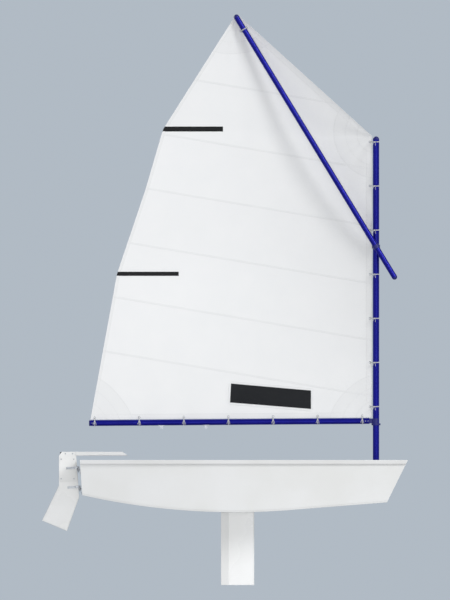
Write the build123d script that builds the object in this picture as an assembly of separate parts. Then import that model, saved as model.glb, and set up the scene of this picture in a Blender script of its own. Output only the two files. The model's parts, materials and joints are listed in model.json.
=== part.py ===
from build123d import *
import math
import os

# Pram dinghy with a spritsail, board and rudder. Millimetres.
# x runs forward, y to port and z up. The origin is amidships on the centreline, in the still waterline.

# Hull
hull_length = 2300  # between the tops of the two transoms
hull_depth = 366  # from the lowest point of the bottom up to the sheer
draught = 50  # lowest point of the bottom below the water, boat empty
rocker_low_x = -62  # where the bottom is lowest
rocker_radius = 4850  # bottom in profile, from the stern to where the straight forward run starts
bow_rise = 4.52  # degrees, slope of that straight run
stern_rake = 4.1  # degrees from upright, foot forward
bow_rake = 26.4  # degrees from upright, foot aft
bottom_thickness = 12
side_thickness = 9
transom_thickness = 14
end_margin = 20  # end stations past the transoms' tops, cut off by the transoms
# columns: x, half breadth at the chine, half breadth at the sheer
hull_stations = (
    (-hull_length / 2 - end_margin, 369, 444),
    (-600, 430, 525),
    (rocker_low_x, 448, 545),
    (550, 385, 480),
    (hull_length / 2 + end_margin, 193, 288),
)

# Gunwale: a rubbing rail outside the topsides and a capping over all four edges
gunwale_overhang = 20
gunwale_height = 32
gunwale_inner_lip = 14
gunwale_cap = 6  # over the panels' top edges
gunwale_bevel = 6
transom_cap_width = 32

# Mast, boom and sprit. Heights in the rig are above the sheer, and lengths are aft of the mast's axis.
mast_from_bow = 224
mast_radius = 22.5
mast_wall = 2
mast_height = 2268
boom_radius = 21
boom_wall = 1.8
boom_length = 2011
boom_height = 274  # boom's axis at the mast
boom_droop = 0.43  # degrees, aft end low
sprit_radius = 19
sprit_wall = 1.8
sprit_top = (977.5, 3103)  # aft of the mast, height of the upper end's centre
sprit_foot = (-129.5, 1282)  # the same of the lower end's centre
sprit_gap = 4  # between sprit and mast where they cross
sprit_top_offset = 24  # sprit axis off the sail at the peak
turning_clearance = 0.6  # radial, round the mast

# Sail, a sheet with a belly to port
sail_thickness = 4
luff_gap = 6  # mast to sail
foot_gap = 3  # boom to sail
throat_height = 2269  # upper end of the luff
peak = (957, 3110)  # aft of the mast, height of the head's upper end
# columns: height, leech aft of the mast, belly
sail_rows = (
    (boom_height - 30, boom_length - 3, 8),
    (1303, 1814.7, 140),
    (1891, 1616.4, 125),
    (throat_height, 1505.5, 100),
    (2319, 1490.3, 95),
    (peak[1], 988, 1),
)
window_corners = ((1016, 535.7), (455.6, 486.6), (455.6, 357), (1023, 402.6))  # aft of the mast, height
window_thickness = 1.6
batten_thickness = 9
# columns: name, forward end aft of the mast, height of the centre, width
battens = (
    ("upper", 1072, 2319, 35),
    ("lower", 1382.5, 1304.5, 29),
)
tie_radius = 1.8
tie_sides = 12
tie_clearance = 1
tie_inset = 14  # eyelet from the sail's edge
eyelet_clearance = 1.5  # round a tie where it passes the sail
luff_tie_count = 7
luff_tie_margin = (100, 40)  # lowest above the boom, highest below the throat
foot_tie_count = 7
foot_tie_margin = (96, 40)  # foremost aft of the mast, aftmost forward of the boom's end
peak_tie_drop = 100  # along the sprit

# Daggerboard and its case
board_x = -43.5
board_width = 233
board_thickness = 14.5
board_below_bottom = 510
board_edge_taper = 55
board_edge_thickness = 3
board_stop_height = 30
board_stop_thickness = 12
board_stop_round = 8
board_stop_gap = 0.5
board_above_stops = 18
case_height = 290  # above the lowest point of the bottom
case_wall = 8
case_rim_width = 20
case_rim_height = 14
case_rim_round = 4
case_corner_round = 7
case_end_clearance = 4
case_side_clearance = 2.75

# Inside the hull
frame_thickness = 10
frame_low_height = 270  # middle part, above the lowest point of the bottom
frame_step_y = 365  # where the frame steps up to the gunwale
frame_step_slope = 60
frame_corner_round = 18
frame_cap_width = 28
frame_cap_height = 14
frame_cap_round = 5
limber_radius = 22
limber_y = 290
thwart_width = 160
thwart_thickness = 14
thwart_round = 6
thwart_flange_height = 55
thwart_flange_thickness = 8
bearing_wall = 5
bearing_flange = 12
bearing_flange_height = 4
step_base_length = 110
step_base_width = 130
step_base_height = 12
step_cup_wall = 8
step_cup_height = 42
step_cup_flare = 5
step_base_round = 14
bag_round = 78  # along the bag
bag_end_bevel = 45
bag_gap = 1
side_bag_size = (800, 185, 205)  # length, width, height
side_bag_from_stern = 500  # to the bag's centre
side_bag_y = 357
side_bag_angle = 5.4
side_bag_bedding = 4  # into the floor's curve
bow_bag_size = (225, 740, 215)
bow_bag_behind_mast = 244
bow_bag_bedding = 8
strap_width = 25
strap_thickness = 2
strap_from_bag_end = 130
toe_strap_width = 42
toe_strap_thickness = 4
toe_strap_y = 95
toe_strap_height = 95  # above the floor at each end
toe_strap_sag = 22
eye_base = (44, 18, 3)
eye_height = 13
eye_lug_radius = 9
eye_lug_width = 6
eye_bore_radius = 5
eye_bedding = 0.8  # into the floor's slope
boom_eye_after = (3, 4)  # each midway from this foot tie to the next, the foremost being 0
floor_eye_aft = 78  # aft of the board case

# Rudder, tiller and extension. Heights are above the sheer, and lengths are aft of the rudder's axis.
axis_gap = 14  # rudder axis behind the transom
blade_gap = 8  # rudder's leading edge behind the axis
rudder_thickness = 14
rudder_toe = -261  # where the leading edge leaves the transom's line
# Aft and lower outline, from the head's aft corner round to the blade's foot
rudder_outline = ((131, 30), (131, -177), (250, -424), (75, -498))
rudder_edge_round = 5
cheek_thickness = 8
cheek_bottom = -151
cheek_corner = (21, 28)  # bevel of the head's aft corner
cheek_setback = 6
pintle_radius = 4
pintle_length = 26
pintle_clearance = 0.1
hanging_barrel_radius = 7
hanging_barrel_height = 16
hanging_gap = 0.5
hanging_drops = (60, 195)  # upper and lower, below the sheer along the axis
gudgeon_plate = (3, 60, 44)  # thickness, width, height
gudgeon_plate_round = 8
pintle_arm_length = 80
pintle_arm_thickness = 2.5
tiller_height = 28
tiller_width = 22
tiller_above_sheer = 30
tiller_behind_axis = 110
tiller_reach = 352  # forward of the axis
tiller_tip_slope = 38
tiller_edge_round = 4
tongue_shoulder = 4  # full width starts this far forward of the cheeks
pivot_from_tip = 50
pivot_y = 33
pivot_radius = 3
pivot_clearance = 0.1
pivot_lug = 4
pivot_lug_radius = 9
knuckle_gap = 0.5
knuckle_length = 23
knuckle_neck = (10, 12)  # width, height
knuckle_stem = 24
pin_end = 1
extension_radius = 9
extension_wall = 1.5
extension_length = 420
grip_radius = 12.5
grip_length = 150
grip_end = 6  # past the tube
grip_bevel = 3

# Small parts
plug_depth = 35
plug_head = 8
plug_bevel = 4
dome_cones = 4  # a dome is turned as this many cones
eye_plate_round = 3
vane_bore_radius = 3
vane_bore_depth = 40
collar_height = 26
collar_wall = 5
jaw_height = 34
jaw_wall = 9
jaw_reach = 12  # arms past the mast's centre
jaw_neck = 46
jaw_neck_width = 36

# Worked-out places
sheer_z = hull_depth - draught
base_z = -draught
rocker_centre_z = base_z + rocker_radius
bow_rise_rad = math.radians(bow_rise)
stern_tan = math.tan(math.radians(stern_rake))
bow_tan = math.tan(math.radians(bow_rake))
case_top_z = base_z + case_height
cap_under_z = sheer_z - gunwale_height
mast_x = hull_length / 2 - mast_from_bow
mast_top_z = sheer_z + mast_height
boom_z = sheer_z + boom_height
sprit_crossing = sprit_top[0] / (sprit_top[0] - sprit_foot[0])  # share of the sprit above the mast
case_aft_x = board_x - board_width / 2 - case_end_clearance - case_wall
far = 2 * hull_length  # larger than the hull any way


def rig_xz(aft, height):
    """Point in the rig from its length aft of the mast and its height above the sheer."""
    return (mast_x - aft, sheer_z + height)


def rocker_z(x, rise=0):
    """Height of the outer bottom at x, or of the surface that is rise above it."""
    radius = rocker_radius - rise
    tangent_x = rocker_low_x + radius * math.sin(bow_rise_rad)
    if x <= tangent_x:
        return rocker_centre_z - math.sqrt(radius**2 - (x - rocker_low_x) ** 2)
    tangent_z = rocker_centre_z - radius * math.cos(bow_rise_rad)
    return tangent_z + (x - tangent_x) * math.tan(bow_rise_rad)


def plate_xz(points, width, y=0):
    """Flat plate with an outline in profile, its thickness centred on y."""
    face = Plane.XZ * make_face(Polyline(*points, close=True))
    return Pos(0, y, 0) * extrude(face, width / 2, both=True)


def plate_yz(points, thickness, x):
    """Flat plate across the boat, its thickness centred on x."""
    face = Plane.YZ * make_face(Polyline(*points, close=True))
    return Pos(x, 0, 0) * extrude(face, thickness / 2, both=True)


def block(x0, x1, y0, y1, z0, z1):
    """Box between two corners."""
    return Pos((x0 + x1) / 2, (y0 + y1) / 2, (z0 + z1) / 2) * Box(x1 - x0, y1 - y0, z1 - z0)


def along(start, end):
    """Plane at start whose normal points to end."""
    return Plane(origin=start, z_dir=Vector(*end) - Vector(*start))


def rod(start, end, radius):
    """Round bar between two points."""
    length = (Vector(*end) - Vector(*start)).length
    return along(start, end) * extrude(Circle(radius), length)


def tube(start, end, radius, wall):
    """Round tube between two points."""
    length = (Vector(*end) - Vector(*start)).length
    return along(start, end) * extrude(Circle(radius) - Circle(radius - wall), length)


def domed_plug(radius, wall, depth):
    """Round end plug: a stem that fills a tube and a dome over its end, mouth at the origin, dome up."""
    turns = [math.pi / 2 * number / dome_cones for number in range(dome_cones)]
    profile = [(radius * math.cos(turn), radius * math.sin(turn)) for turn in turns]
    face = Plane.XZ * make_face(Polyline((0, 0), *profile, (0, radius), close=True))
    stem = Pos(0, 0, -depth / 2) * Cylinder(radius - wall, depth)
    return revolve(face, Axis.Z) + stem


def flat_plug(radius, wall, depth, head):
    """Round end plug with a short bevelled head."""
    cap = Pos(0, 0, head / 2) * Cylinder(radius, head)
    cap = chamfer(cap.edges().group_by(Axis.Z)[-1], plug_bevel)
    stem = Pos(0, 0, -depth / 2) * Cylinder(radius - wall, depth)
    return cap + stem


def side_block(inset):
    """Solid between the topsides' outer faces moved in by inset; it runs past the sheer and the bottom."""
    low, high = base_z - 100, sheer_z + 60
    sections = []
    for x, chine, sheer in hull_stations:
        foot_z = rocker_z(x)
        flare = (sheer - chine) / (sheer_z - foot_z)
        shift = inset * math.sqrt(1 + flare**2)
        y_low = chine + flare * (low - foot_z) - shift
        y_high = chine + flare * (high - foot_z) - shift
        outline = Polyline((-y_low, low), (y_low, low), (y_high, high), (-y_high, high), close=True)
        sections.append(Pos(x, 0, 0) * (Plane.YZ * make_face(outline)))
    return loft(sections)


def above_bottom(rise, top_z):
    """Everything from the surface that is rise above the outer bottom, up to top_z."""
    x_aft, x_bow = -hull_length / 2 - 40, hull_length / 2 + 40
    radius = rocker_radius - rise
    tangent_x = rocker_low_x + radius * math.sin(bow_rise_rad)
    middle_x = (x_aft + tangent_x) / 2
    tangent = (tangent_x, rocker_z(tangent_x, rise))
    edge = ThreePointArc((x_aft, rocker_z(x_aft, rise)), (middle_x, rocker_z(middle_x, rise)), tangent)
    rest = Polyline(
        tangent,
        (x_bow, rocker_z(x_bow, rise)),
        (x_bow, top_z),
        (x_aft, top_z),
        (x_aft, rocker_z(x_aft, rise)),
    )
    return extrude(Plane.XZ * make_face([*edge.edges(), *rest.edges()]), far / 2, both=True)


def between_transoms(inset):
    """Everything between the transoms' outer faces, moved in by inset."""
    low, high = base_z - 200, sheer_z + 200
    aft = -hull_length / 2 + inset / math.cos(math.radians(stern_rake))
    bow = hull_length / 2 - inset / math.cos(math.radians(bow_rake))
    points = (
        (aft + (sheer_z - low) * stern_tan, low),
        (bow - (sheer_z - low) * bow_tan, low),
        (bow + (high - sheer_z) * bow_tan, high),
        (aft - (high - sheer_z) * stern_tan, high),
    )
    return plate_xz(points, far)


def layer(z0, z1):
    """Everything between two heights."""
    return block(-far, far, -far, far, z0, z1)


port_half = block(-far, far, 0, far, -far, far)
starboard_half = block(-far, far, -far, 0, -far, far)
outer_sides = side_block(0)
inner_sides = side_block(side_thickness)
full_length = between_transoms(0)
inner_length = between_transoms(transom_thickness)
floor_up = above_bottom(bottom_thickness, sheer_z)


def cavity(gap):
    """Space inside the hull's skin, kept gap clear of it."""
    return (
        side_block(side_thickness + gap)
        & between_transoms(transom_thickness + gap)
        & above_bottom(bottom_thickness + gap, cap_under_z - gap)
    )


def case_bore(z0, z1):
    """Slot that the board slides in."""
    half_x = board_width / 2 + case_end_clearance
    half_y = board_thickness / 2 + case_side_clearance
    return block(board_x - half_x, board_x + half_x, -half_y, half_y, z0, z1)


def hull_panels():
    """Bottom, topsides and transoms, each its own panel."""
    panel_top = sheer_z - gunwale_cap
    skin = outer_sides & full_length
    bottom = skin & (above_bottom(0, sheer_z) - floor_up) - case_bore(base_z - 60, sheer_z)
    walls = (outer_sides - inner_sides) & full_length & above_bottom(bottom_thickness, panel_top)
    ends = inner_sides & (full_length - inner_length) & above_bottom(bottom_thickness, panel_top)
    forward = block(0, far, -far, far, -far, far)
    return {
        "hull_bottom": bottom,
        "hull_side_port": walls & port_half,
        "hull_side_starboard": walls & starboard_half,
        "bow_transom": ends & forward,
        "stern_transom": ends - forward,
    }


def gunwales(panels):
    """Capping and rubbing rail along each side, and a capping over each transom."""
    outer = side_block(-gunwale_overhang)
    inner = side_block(side_thickness + gunwale_inner_lip)
    band = layer(cap_under_z, sheer_z)
    forward = block(0, far, -far, far, -far, far)
    rails = (outer - inner) & full_length & band
    caps = inner & (full_length - between_transoms(transom_cap_width)) & band
    nodes = {}
    for name, rail in (("gunwale_port", rails & port_half), ("gunwale_starboard", rails & starboard_half)):
        long_edges = rail.edges().filter_by(lambda edge: edge.length > hull_length / 2)
        nodes[name] = chamfer(long_edges, gunwale_bevel)
    for name, cap in (("bow_capping", caps & forward), ("stern_capping", caps - forward)):
        upper = cap.edges().filter_by(Axis.Y).filter_by(lambda edge: edge.center().Z > sheer_z - 1)
        nodes[name] = chamfer(min(upper, key=lambda edge: abs(edge.center().X)), gunwale_bevel)
    for name in nodes:
        for panel in ("hull_side_port", "hull_side_starboard", "bow_transom", "stern_transom"):
            nodes[name] = nodes[name] - panels[panel]
    return nodes


def mast_thwart():
    """Channel-shaped beam across the bow, with a hole for the mast's bearing."""
    aft, fore = mast_x - thwart_width / 2, mast_x + thwart_width / 2
    top = cap_under_z
    web_z = top - thwart_thickness
    foot = top - thwart_flange_height
    inner_aft, inner_fore = aft + thwart_flange_thickness, fore - thwart_flange_thickness
    outline = (
        (aft, foot),
        (inner_aft, foot),
        (inner_aft, web_z),
        (inner_fore, web_z),
        (inner_fore, foot),
        (fore, foot),
        (fore, top),
        (aft, top),
    )
    beam = plate_xz(outline, far)
    upper = beam.edges().filter_by(Axis.Y).group_by(Axis.Z)[-1]
    beam = fillet(upper, thwart_round) & inner_sides & inner_length
    bush_radius = mast_radius + turning_clearance + bearing_wall
    return beam - Pos(mast_x, 0, top) * Cylinder(bush_radius, 4 * thwart_thickness)


def mast_bearing():
    """Flanged bush that the mast turns in, at the thwart."""
    top = cap_under_z
    bore = mast_radius + turning_clearance
    sleeve = Cylinder(bore + bearing_wall, thwart_thickness)
    collar = Cylinder(bore + bearing_flange, bearing_flange_height)
    sleeve = Pos(0, 0, top - thwart_thickness / 2) * sleeve
    collar = Pos(0, 0, top + bearing_flange_height / 2) * collar
    return Pos(mast_x, 0, 0) * (sleeve + collar - Pos(0, 0, top) * Cylinder(bore, far))


def mast_step():
    """Cup on the floor that the mast's heel stands in."""
    floor_z = rocker_z(mast_x, bottom_thickness)
    base_top = floor_z + step_base_height
    outer = mast_radius + turning_clearance + step_cup_wall
    foot = block(
        mast_x - step_base_length / 2,
        mast_x + step_base_length / 2,
        -step_base_width / 2,
        step_base_width / 2,
        floor_z - 30,
        base_top,
    )
    foot = fillet(foot.edges().filter_by(Axis.Z), step_base_round)
    cup_place = Pos(mast_x, 0, base_top + step_cup_height / 2)
    cup = Cone(outer + step_cup_flare, outer, step_cup_height)
    cup = cup - Cylinder(mast_radius + turning_clearance, 2 * step_cup_height)
    return (foot & floor_up & inner_length) + cup_place * cup


def midship_frame(case):
    """Low bulkhead behind the board case, stepped up to the gunwale at each side."""
    low, high = base_z + frame_low_height, cap_under_z
    half = far / 2
    shoulder = frame_step_y + frame_step_slope
    outline = (
        (-half, base_z - 50),
        (half, base_z - 50),
        (half, high),
        (shoulder, high),
        (frame_step_y, low),
        (-frame_step_y, low),
        (-shoulder, high),
        (-half, high),
    )
    x = case_aft_x - frame_thickness / 2
    plate = plate_yz(outline, frame_thickness, x)
    corners = plate.edges().filter_by(Axis.X).filter_by(lambda edge: abs(edge.center().Y) <= shoulder)
    plate = fillet(corners, frame_corner_round)
    cap_half = frame_step_y - frame_corner_round
    cap = block(case_aft_x - frame_cap_width, case_aft_x, -cap_half, cap_half, low - frame_cap_height, low)
    cap = fillet(cap.edges().filter_by(Axis.Y).group_by(Axis.Z)[-1], frame_cap_round)
    limber = Cylinder(limber_radius, 4 * frame_thickness, rotation=(0, 90, 0))
    frame = (plate + cap) & inner_sides & floor_up
    for side in (-1, 1):
        frame = frame - Pos(x, side * limber_y, rocker_z(x, bottom_thickness)) * limber
    return frame - case


def board_case():
    """Trunk round the board, from the floor to a rim that the board's stops rest on."""
    half_x = board_width / 2 + case_end_clearance + case_wall
    half_y = board_thickness / 2 + case_side_clearance + case_wall
    trunk = block(board_x - half_x, board_x + half_x, -half_y, half_y, base_z - 50, case_top_z)
    trunk = fillet(trunk.edges().filter_by(Axis.Z), case_corner_round)
    rim = block(
        board_x - half_x,
        board_x + half_x + case_rim_width,
        -half_y - case_rim_width,
        half_y + case_rim_width,
        case_top_z - case_rim_height,
        case_top_z,
    )
    rim = fillet(rim.edges().filter_by(Axis.Z), case_corner_round)
    rim = fillet(rim.edges().group_by(Axis.Z)[-1], case_rim_round)
    return ((trunk + rim) & floor_up) - case_bore(base_z - 60, sheer_z)


def bag(size, place, long_axis, grow):
    """Air bag as a box, rounded along its length, with bevelled ends."""
    axis = (Axis.X, Axis.Y)[long_axis]
    body = Box(*(value + 2 * grow for value in size))
    body = fillet(body.edges().filter_by(axis), bag_round + grow)
    rims = [rim for end in body.faces().filter_by(axis) for rim in end.edges()]
    return place * chamfer(rims, bag_end_bevel)


def air_bags():
    """Three air bags and the webbing bands that hold them down."""
    inside = cavity(bag_gap)
    skin = cavity(0)
    side_x = side_bag_from_stern - hull_length / 2
    side_z = rocker_z(side_x, bottom_thickness) + side_bag_size[2] / 2 - side_bag_bedding
    bow_x = mast_x - bow_bag_behind_mast
    bow_z = rocker_z(bow_x, bottom_thickness) + bow_bag_size[2] / 2 - bow_bag_bedding
    places = {
        "port": (side_bag_size, Pos(side_x, side_bag_y, side_z) * Rot(0, 0, side_bag_angle), 0),
        "starboard": (side_bag_size, Pos(side_x, -side_bag_y, side_z) * Rot(0, 0, -side_bag_angle), 0),
        "bow": (bow_bag_size, Pos(bow_x, 0, bow_z), 1),
    }
    nodes = {}
    for name, (size, place, long_axis) in places.items():
        nodes[f"air_bag_{name}"] = bag(size, place, long_axis, 0) & inside
        outside = bag(size, place, long_axis, bag_gap + strap_thickness)
        band = (outside - bag(size, place, long_axis, bag_gap)) & skin
        outer_strap = size[long_axis] / 2 - strap_from_bag_end
        slices = []
        for along_bag in (-outer_strap, 0, outer_strap):
            centre = [0, 0, 0]
            centre[long_axis] = along_bag
            slab_size = [far / 2] * 3
            slab_size[long_axis] = strap_width
            piece = band & (place * Pos(*centre) * Box(*slab_size))
            slices.append(piece.solids().sort_by(SortBy.VOLUME)[-1])
        nodes[f"bag_straps_{name}"] = Compound(children=slices)
    return nodes


def toe_straps():
    """Two webbing straps from the frame to the stern transom."""
    x_fore = case_aft_x - frame_thickness
    x_aft = -hull_length / 2
    x_mid = (x_fore + x_aft) / 2
    ends = [rocker_z(x, bottom_thickness) + toe_strap_height for x in (x_aft, x_mid, x_fore)]
    ends[1] = (ends[0] + ends[2]) / 2 - toe_strap_sag
    top = ThreePointArc((x_aft, ends[0]), (x_mid, ends[1]), (x_fore, ends[2]))
    under = ThreePointArc(
        (x_aft, ends[0] - toe_strap_thickness),
        (x_mid, ends[1] - toe_strap_thickness),
        (x_fore, ends[2] - toe_strap_thickness),
    )
    fore = Line((x_fore, ends[2]), (x_fore, ends[2] - toe_strap_thickness))
    aft = Line((x_aft, ends[0]), (x_aft, ends[0] - toe_strap_thickness))
    face = Plane.XZ * make_face([*top.edges(), *fore.edges(), *under.edges(), *aft.edges()])
    solids = []
    for y in (-toe_strap_y, toe_strap_y):
        strap = Pos(0, y, 0) * extrude(face, toe_strap_width / 2, both=True) & inner_length
        solids.extend(strap.solids())
    return Compound(children=solids)


def lug_eye():
    """Base plate standing on z = 0 with a round lug on it, drilled along y."""
    length, width, height = eye_base
    base = Pos(0, 0, height / 2) * Box(length, width, height)
    base = fillet(base.edges().filter_by(Axis.Z), eye_plate_round)
    lug = Pos(0, 0, eye_height) * Cylinder(eye_lug_radius, eye_lug_width, rotation=(90, 0, 0))
    stem = Pos(0, 0, eye_height / 2) * Box(2 * eye_lug_radius, eye_lug_width, eye_height)
    bore = Pos(0, 0, eye_height) * Cylinder(eye_bore_radius, 3 * width, rotation=(90, 0, 0))
    return base + lug + stem - bore


def mast_parts():
    """Round tube, domed head with a socket for a wind vane, heel plug and the collar under the boom."""
    heel_z = rocker_z(mast_x, bottom_thickness) + step_base_height + turning_clearance
    foot_z = heel_z + plug_head
    shoulder_z = mast_top_z - mast_radius
    head = Pos(mast_x, 0, shoulder_z) * domed_plug(mast_radius, mast_wall, plug_depth)
    bore = Pos(mast_x, 0, mast_top_z - vane_bore_depth / 2) * Cylinder(vane_bore_radius, vane_bore_depth)
    heel = Pos(mast_x, 0, foot_z) * Rot(180, 0, 0) * flat_plug(mast_radius, mast_wall, plug_depth, plug_head)
    collar_z = boom_z - jaw_height / 2 - turning_clearance - collar_height / 4
    collar = Cylinder(mast_radius + jaw_wall, collar_height / 2) - Cylinder(mast_radius, collar_height)
    return {
        "mast_tube": tube((mast_x, 0, foot_z), (mast_x, 0, shoulder_z), mast_radius, mast_wall),
        "mast_head": head - bore,
        "mast_heel": heel,
        "boom_rest_collar": Pos(mast_x, 0, collar_z) * collar,
    }


boom_frame = Pos(mast_x, 0, boom_z) * Rot(0, -boom_droop, 0)


def boom_point(aft, z=0):
    """Point on the boom's axis, or z off it, some way aft of the mast."""
    return (mast_x - aft, 0, boom_z - aft * math.tan(math.radians(boom_droop)) + z)


def foot_tie_point(number):
    """Point on the boom's axis at a foot tie, the foremost being 0, or between two of them."""
    fore, aft = foot_tie_margin[0], boom_length - foot_tie_margin[1]
    return boom_point(fore + (aft - fore) * number / (foot_tie_count - 1))


def boom_parts():
    """Tube, jaws that half circle the mast, end plug and two eyes for the sheet."""
    bore = mast_radius + turning_clearance
    aft_end = (plug_head - boom_length, 0, 0)
    pipe = boom_frame * tube(aft_end, (-jaw_neck, 0, 0), boom_radius, boom_wall)
    end = flat_plug(boom_radius, boom_wall, plug_depth, plug_head)
    end = boom_frame * Pos(*aft_end) * Rot(0, -90, 0) * end
    ring = Cylinder(bore + jaw_wall, jaw_height)
    ring = ring - Pos(jaw_reach + far / 2, 0, 0) * Box(far, far, far)
    neck = Pos(-(jaw_neck + bore) / 2, 0, 0) * Box(jaw_neck - bore, jaw_neck_width, jaw_height)
    stem = Cylinder(boom_radius - boom_wall, plug_depth, rotation=(0, 90, 0))
    stem = Pos(-jaw_neck - plug_depth / 2, 0, 0) * stem
    jaw = boom_frame * (ring + neck + stem) - Pos(mast_x, 0, boom_z) * Cylinder(bore, 4 * jaw_height)
    pad = Pos(0, 0, -boom_radius / 4) * Box(eye_base[0], eye_base[1], boom_radius / 2)
    pad = pad - Pos(0, 0, -boom_radius) * Cylinder(boom_radius, far, rotation=(0, 90, 0))
    eyes = []
    for tie_number in boom_eye_after:
        under = Pos(*foot_tie_point(tie_number + 0.5)) * Rot(0, -boom_droop, 0) * Pos(0, 0, -boom_radius)
        eyes.extend((under * Rot(180, 0, 0) * (lug_eye() + pad)).solids())
    return {"boom_tube": pipe, "boom_jaws": jaw, "boom_end": end, "boom_sheet_eyes": Compound(children=eyes)}


def sprit_point(share):
    """Point on the sprit's axis, 0 at its upper end and 1 at its foot."""
    x, z = rig_xz(*(top + (foot - top) * share for top, foot in zip(sprit_top, sprit_foot)))
    crossing_y = mast_radius + sprit_gap + sprit_radius
    y = sprit_top_offset + (crossing_y - sprit_top_offset) * share / sprit_crossing
    return (x, -y, z)


def sprit_parts():
    """Tube with domed ends, and the collar that holds it to the mast."""
    top, foot, crossing = sprit_point(0), sprit_point(1), sprit_point(sprit_crossing)
    bore = mast_radius + turning_clearance
    at_mast = Pos(mast_x, 0, crossing[2])
    ring = at_mast * Cylinder(bore + collar_wall, collar_height)
    sleeve = along(crossing, top) * Cylinder(sprit_radius + collar_wall, collar_height)
    collar = ring + sleeve - at_mast * Cylinder(bore, 4 * collar_height) - rod(top, foot, sprit_radius)
    plug = Rot(180, 0, 0) * domed_plug(sprit_radius, sprit_wall, plug_depth)
    return {
        "sprit_tube": tube(top, foot, sprit_radius, sprit_wall),
        "sprit_peak_end": along(top, foot) * plug,
        "sprit_foot_end": along(foot, top) * plug,
        "sprit_collar": collar,
    }


def luff_aft(height):
    """Forward edge of the sail, aft of the mast: along the luff, then up the head's sloping edge."""
    luff = mast_radius + luff_gap
    share = max(0, (height - throat_height) / (peak[1] - throat_height))
    return luff + (peak[0] - luff) * share


def sail_sheet(thickness):
    """The sail's surface as a sheet of some thickness, before its foot is cut to the boom."""
    sections = []
    for height, leech_aft, belly in sorted(sail_rows):
        luff_x, z = rig_xz(luff_aft(height), height)
        leech_x = mast_x - leech_aft
        middle = (leech_x + luff_x) / 2
        low, high = -thickness / 2, thickness / 2
        near = ThreePointArc((leech_x, low), (middle, belly + low), (luff_x, low))
        away = ThreePointArc((leech_x, high), (middle, belly + high), (luff_x, high))
        leech = Line((leech_x, low), (leech_x, high))
        luff = Line((luff_x, low), (luff_x, high))
        edges = [edge for line in (near, luff, away, leech) for edge in line.edges()]
        sections.append(Pos(0, 0, z) * make_face(edges))
    return loft(sections, ruled=True)


def tie(major, grow):
    """Lashing as a band with flat sides, its axis along z, larger by grow for the hole that it passes."""
    half = tie_radius + grow
    outside = RegularPolygon(major + half, tie_sides, major_radius=False)
    inside = RegularPolygon(major - half, tie_sides, major_radius=False)
    return extrude(outside - inside, half, both=True)


def edge_tie(spar_radius, gap, grow):
    """Ring round a spar along z, reaching through an eyelet in the sail's edge on the spar's -x side."""
    near = spar_radius + tie_clearance + tie_radius
    through = spar_radius + gap + tie_inset
    return Pos((near - through) / 2, 0, 0) * tie((near + through) / 2, grow)


def luff_ties(grow=0):
    """Rings round the mast."""
    low = boom_z + luff_tie_margin[0]
    high = sheer_z + throat_height - luff_tie_margin[1]
    ring = edge_tie(mast_radius, luff_gap, grow)
    step = (high - low) / (luff_tie_count - 1)
    return [Pos(mast_x, 0, low + step * number) * ring for number in range(luff_tie_count)]


def foot_ties(grow=0):
    """Rings round the boom."""
    ring = Rot(0, 90, 0) * edge_tie(boom_radius, foot_gap, grow)
    return [Pos(*foot_tie_point(number)) * ring for number in range(foot_tie_count)]


def peak_tie(grow=0):
    """Ring round the sprit through two eyelets at the sail's peak."""
    top, foot = sprit_point(0), sprit_point(1)
    x, y, z = sprit_point(peak_tie_drop / (Vector(*foot) - Vector(*top)).length)
    near = sprit_radius + tie_clearance + tie_radius
    reach = sprit_top_offset / 2  # the ring stands this far past the sail
    major = (near + reach - y) / 2
    ring = Plane(origin=(x, y - near + major, z), z_dir=along(top, foot).z_dir) * tie(major, grow)
    return [ring]


def sail_parts():
    """Sheet with its window and batten openings cut, window, battens and ties."""
    over_boom = boom_radius + foot_gap
    fore, aft = boom_point(-far, over_boom), boom_point(far, over_boom)
    foot_cut = plate_xz(((fore[0], fore[2]), (aft[0], aft[2]), (aft[0], -far), (fore[0], -far)), far)
    window_hole = plate_xz([rig_xz(*corner) for corner in window_corners], far)
    sheet = sail_sheet(sail_thickness) - foot_cut - window_hole
    nodes = {"sail_window": sail_sheet(window_thickness) & window_hole}
    thick = sail_sheet(batten_thickness)
    for name, fore_aft, height, width in battens:
        x, z = rig_xz(fore_aft, height)
        pocket = block(-far, x, -far, far, z - width / 2, z + width / 2)
        nodes[f"batten_{name}"] = thick & pocket
        sheet = sheet - pocket
    for make in (luff_ties, foot_ties, peak_tie):
        nodes[make.__name__] = Compound(children=make())
        for hole in make(eyelet_clearance):
            sheet = sheet - hole
    nodes["sail"] = sheet
    return nodes


def board_section(width, thickness):
    """Flat board with a rounded leading edge and a tapered trailing edge, leading edge towards +x."""
    half = thickness / 2
    nose = width / 2 - half
    tail = -width / 2
    edge = board_edge_thickness / 2
    front = ThreePointArc((nose, half), (width / 2, 0), (nose, -half))
    rest = Polyline(
        (nose, -half),
        (tail + board_edge_taper, -half),
        (tail, -edge),
        (tail, edge),
        (tail + board_edge_taper, half),
        (nose, half),
    )
    return make_face([*front.edges(), *rest.edges()])


def daggerboard_parts():
    """Board and the pair of stops near its top that rest on the case."""
    foot_z = base_z - board_below_bottom
    stop_z = case_top_z + board_stop_gap
    top_z = stop_z + board_stop_height + board_above_stops
    board = Pos(board_x, 0, foot_z) * extrude(board_section(board_width, board_thickness), top_z - foot_z)
    aft = board_x - board_width / 2 + board_edge_taper
    fore = board_x + board_width / 2 - board_thickness
    inner = board_thickness / 2
    stop = block(aft, fore, inner, inner + board_stop_thickness, stop_z, stop_z + board_stop_height)
    stop = fillet(stop.edges().filter_by(Axis.Y), board_stop_round)
    stops = [*stop.solids(), *mirror(stop, Plane.XZ).solids()]
    return {"daggerboard": board, "daggerboard_stops": Compound(children=stops)}


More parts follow.
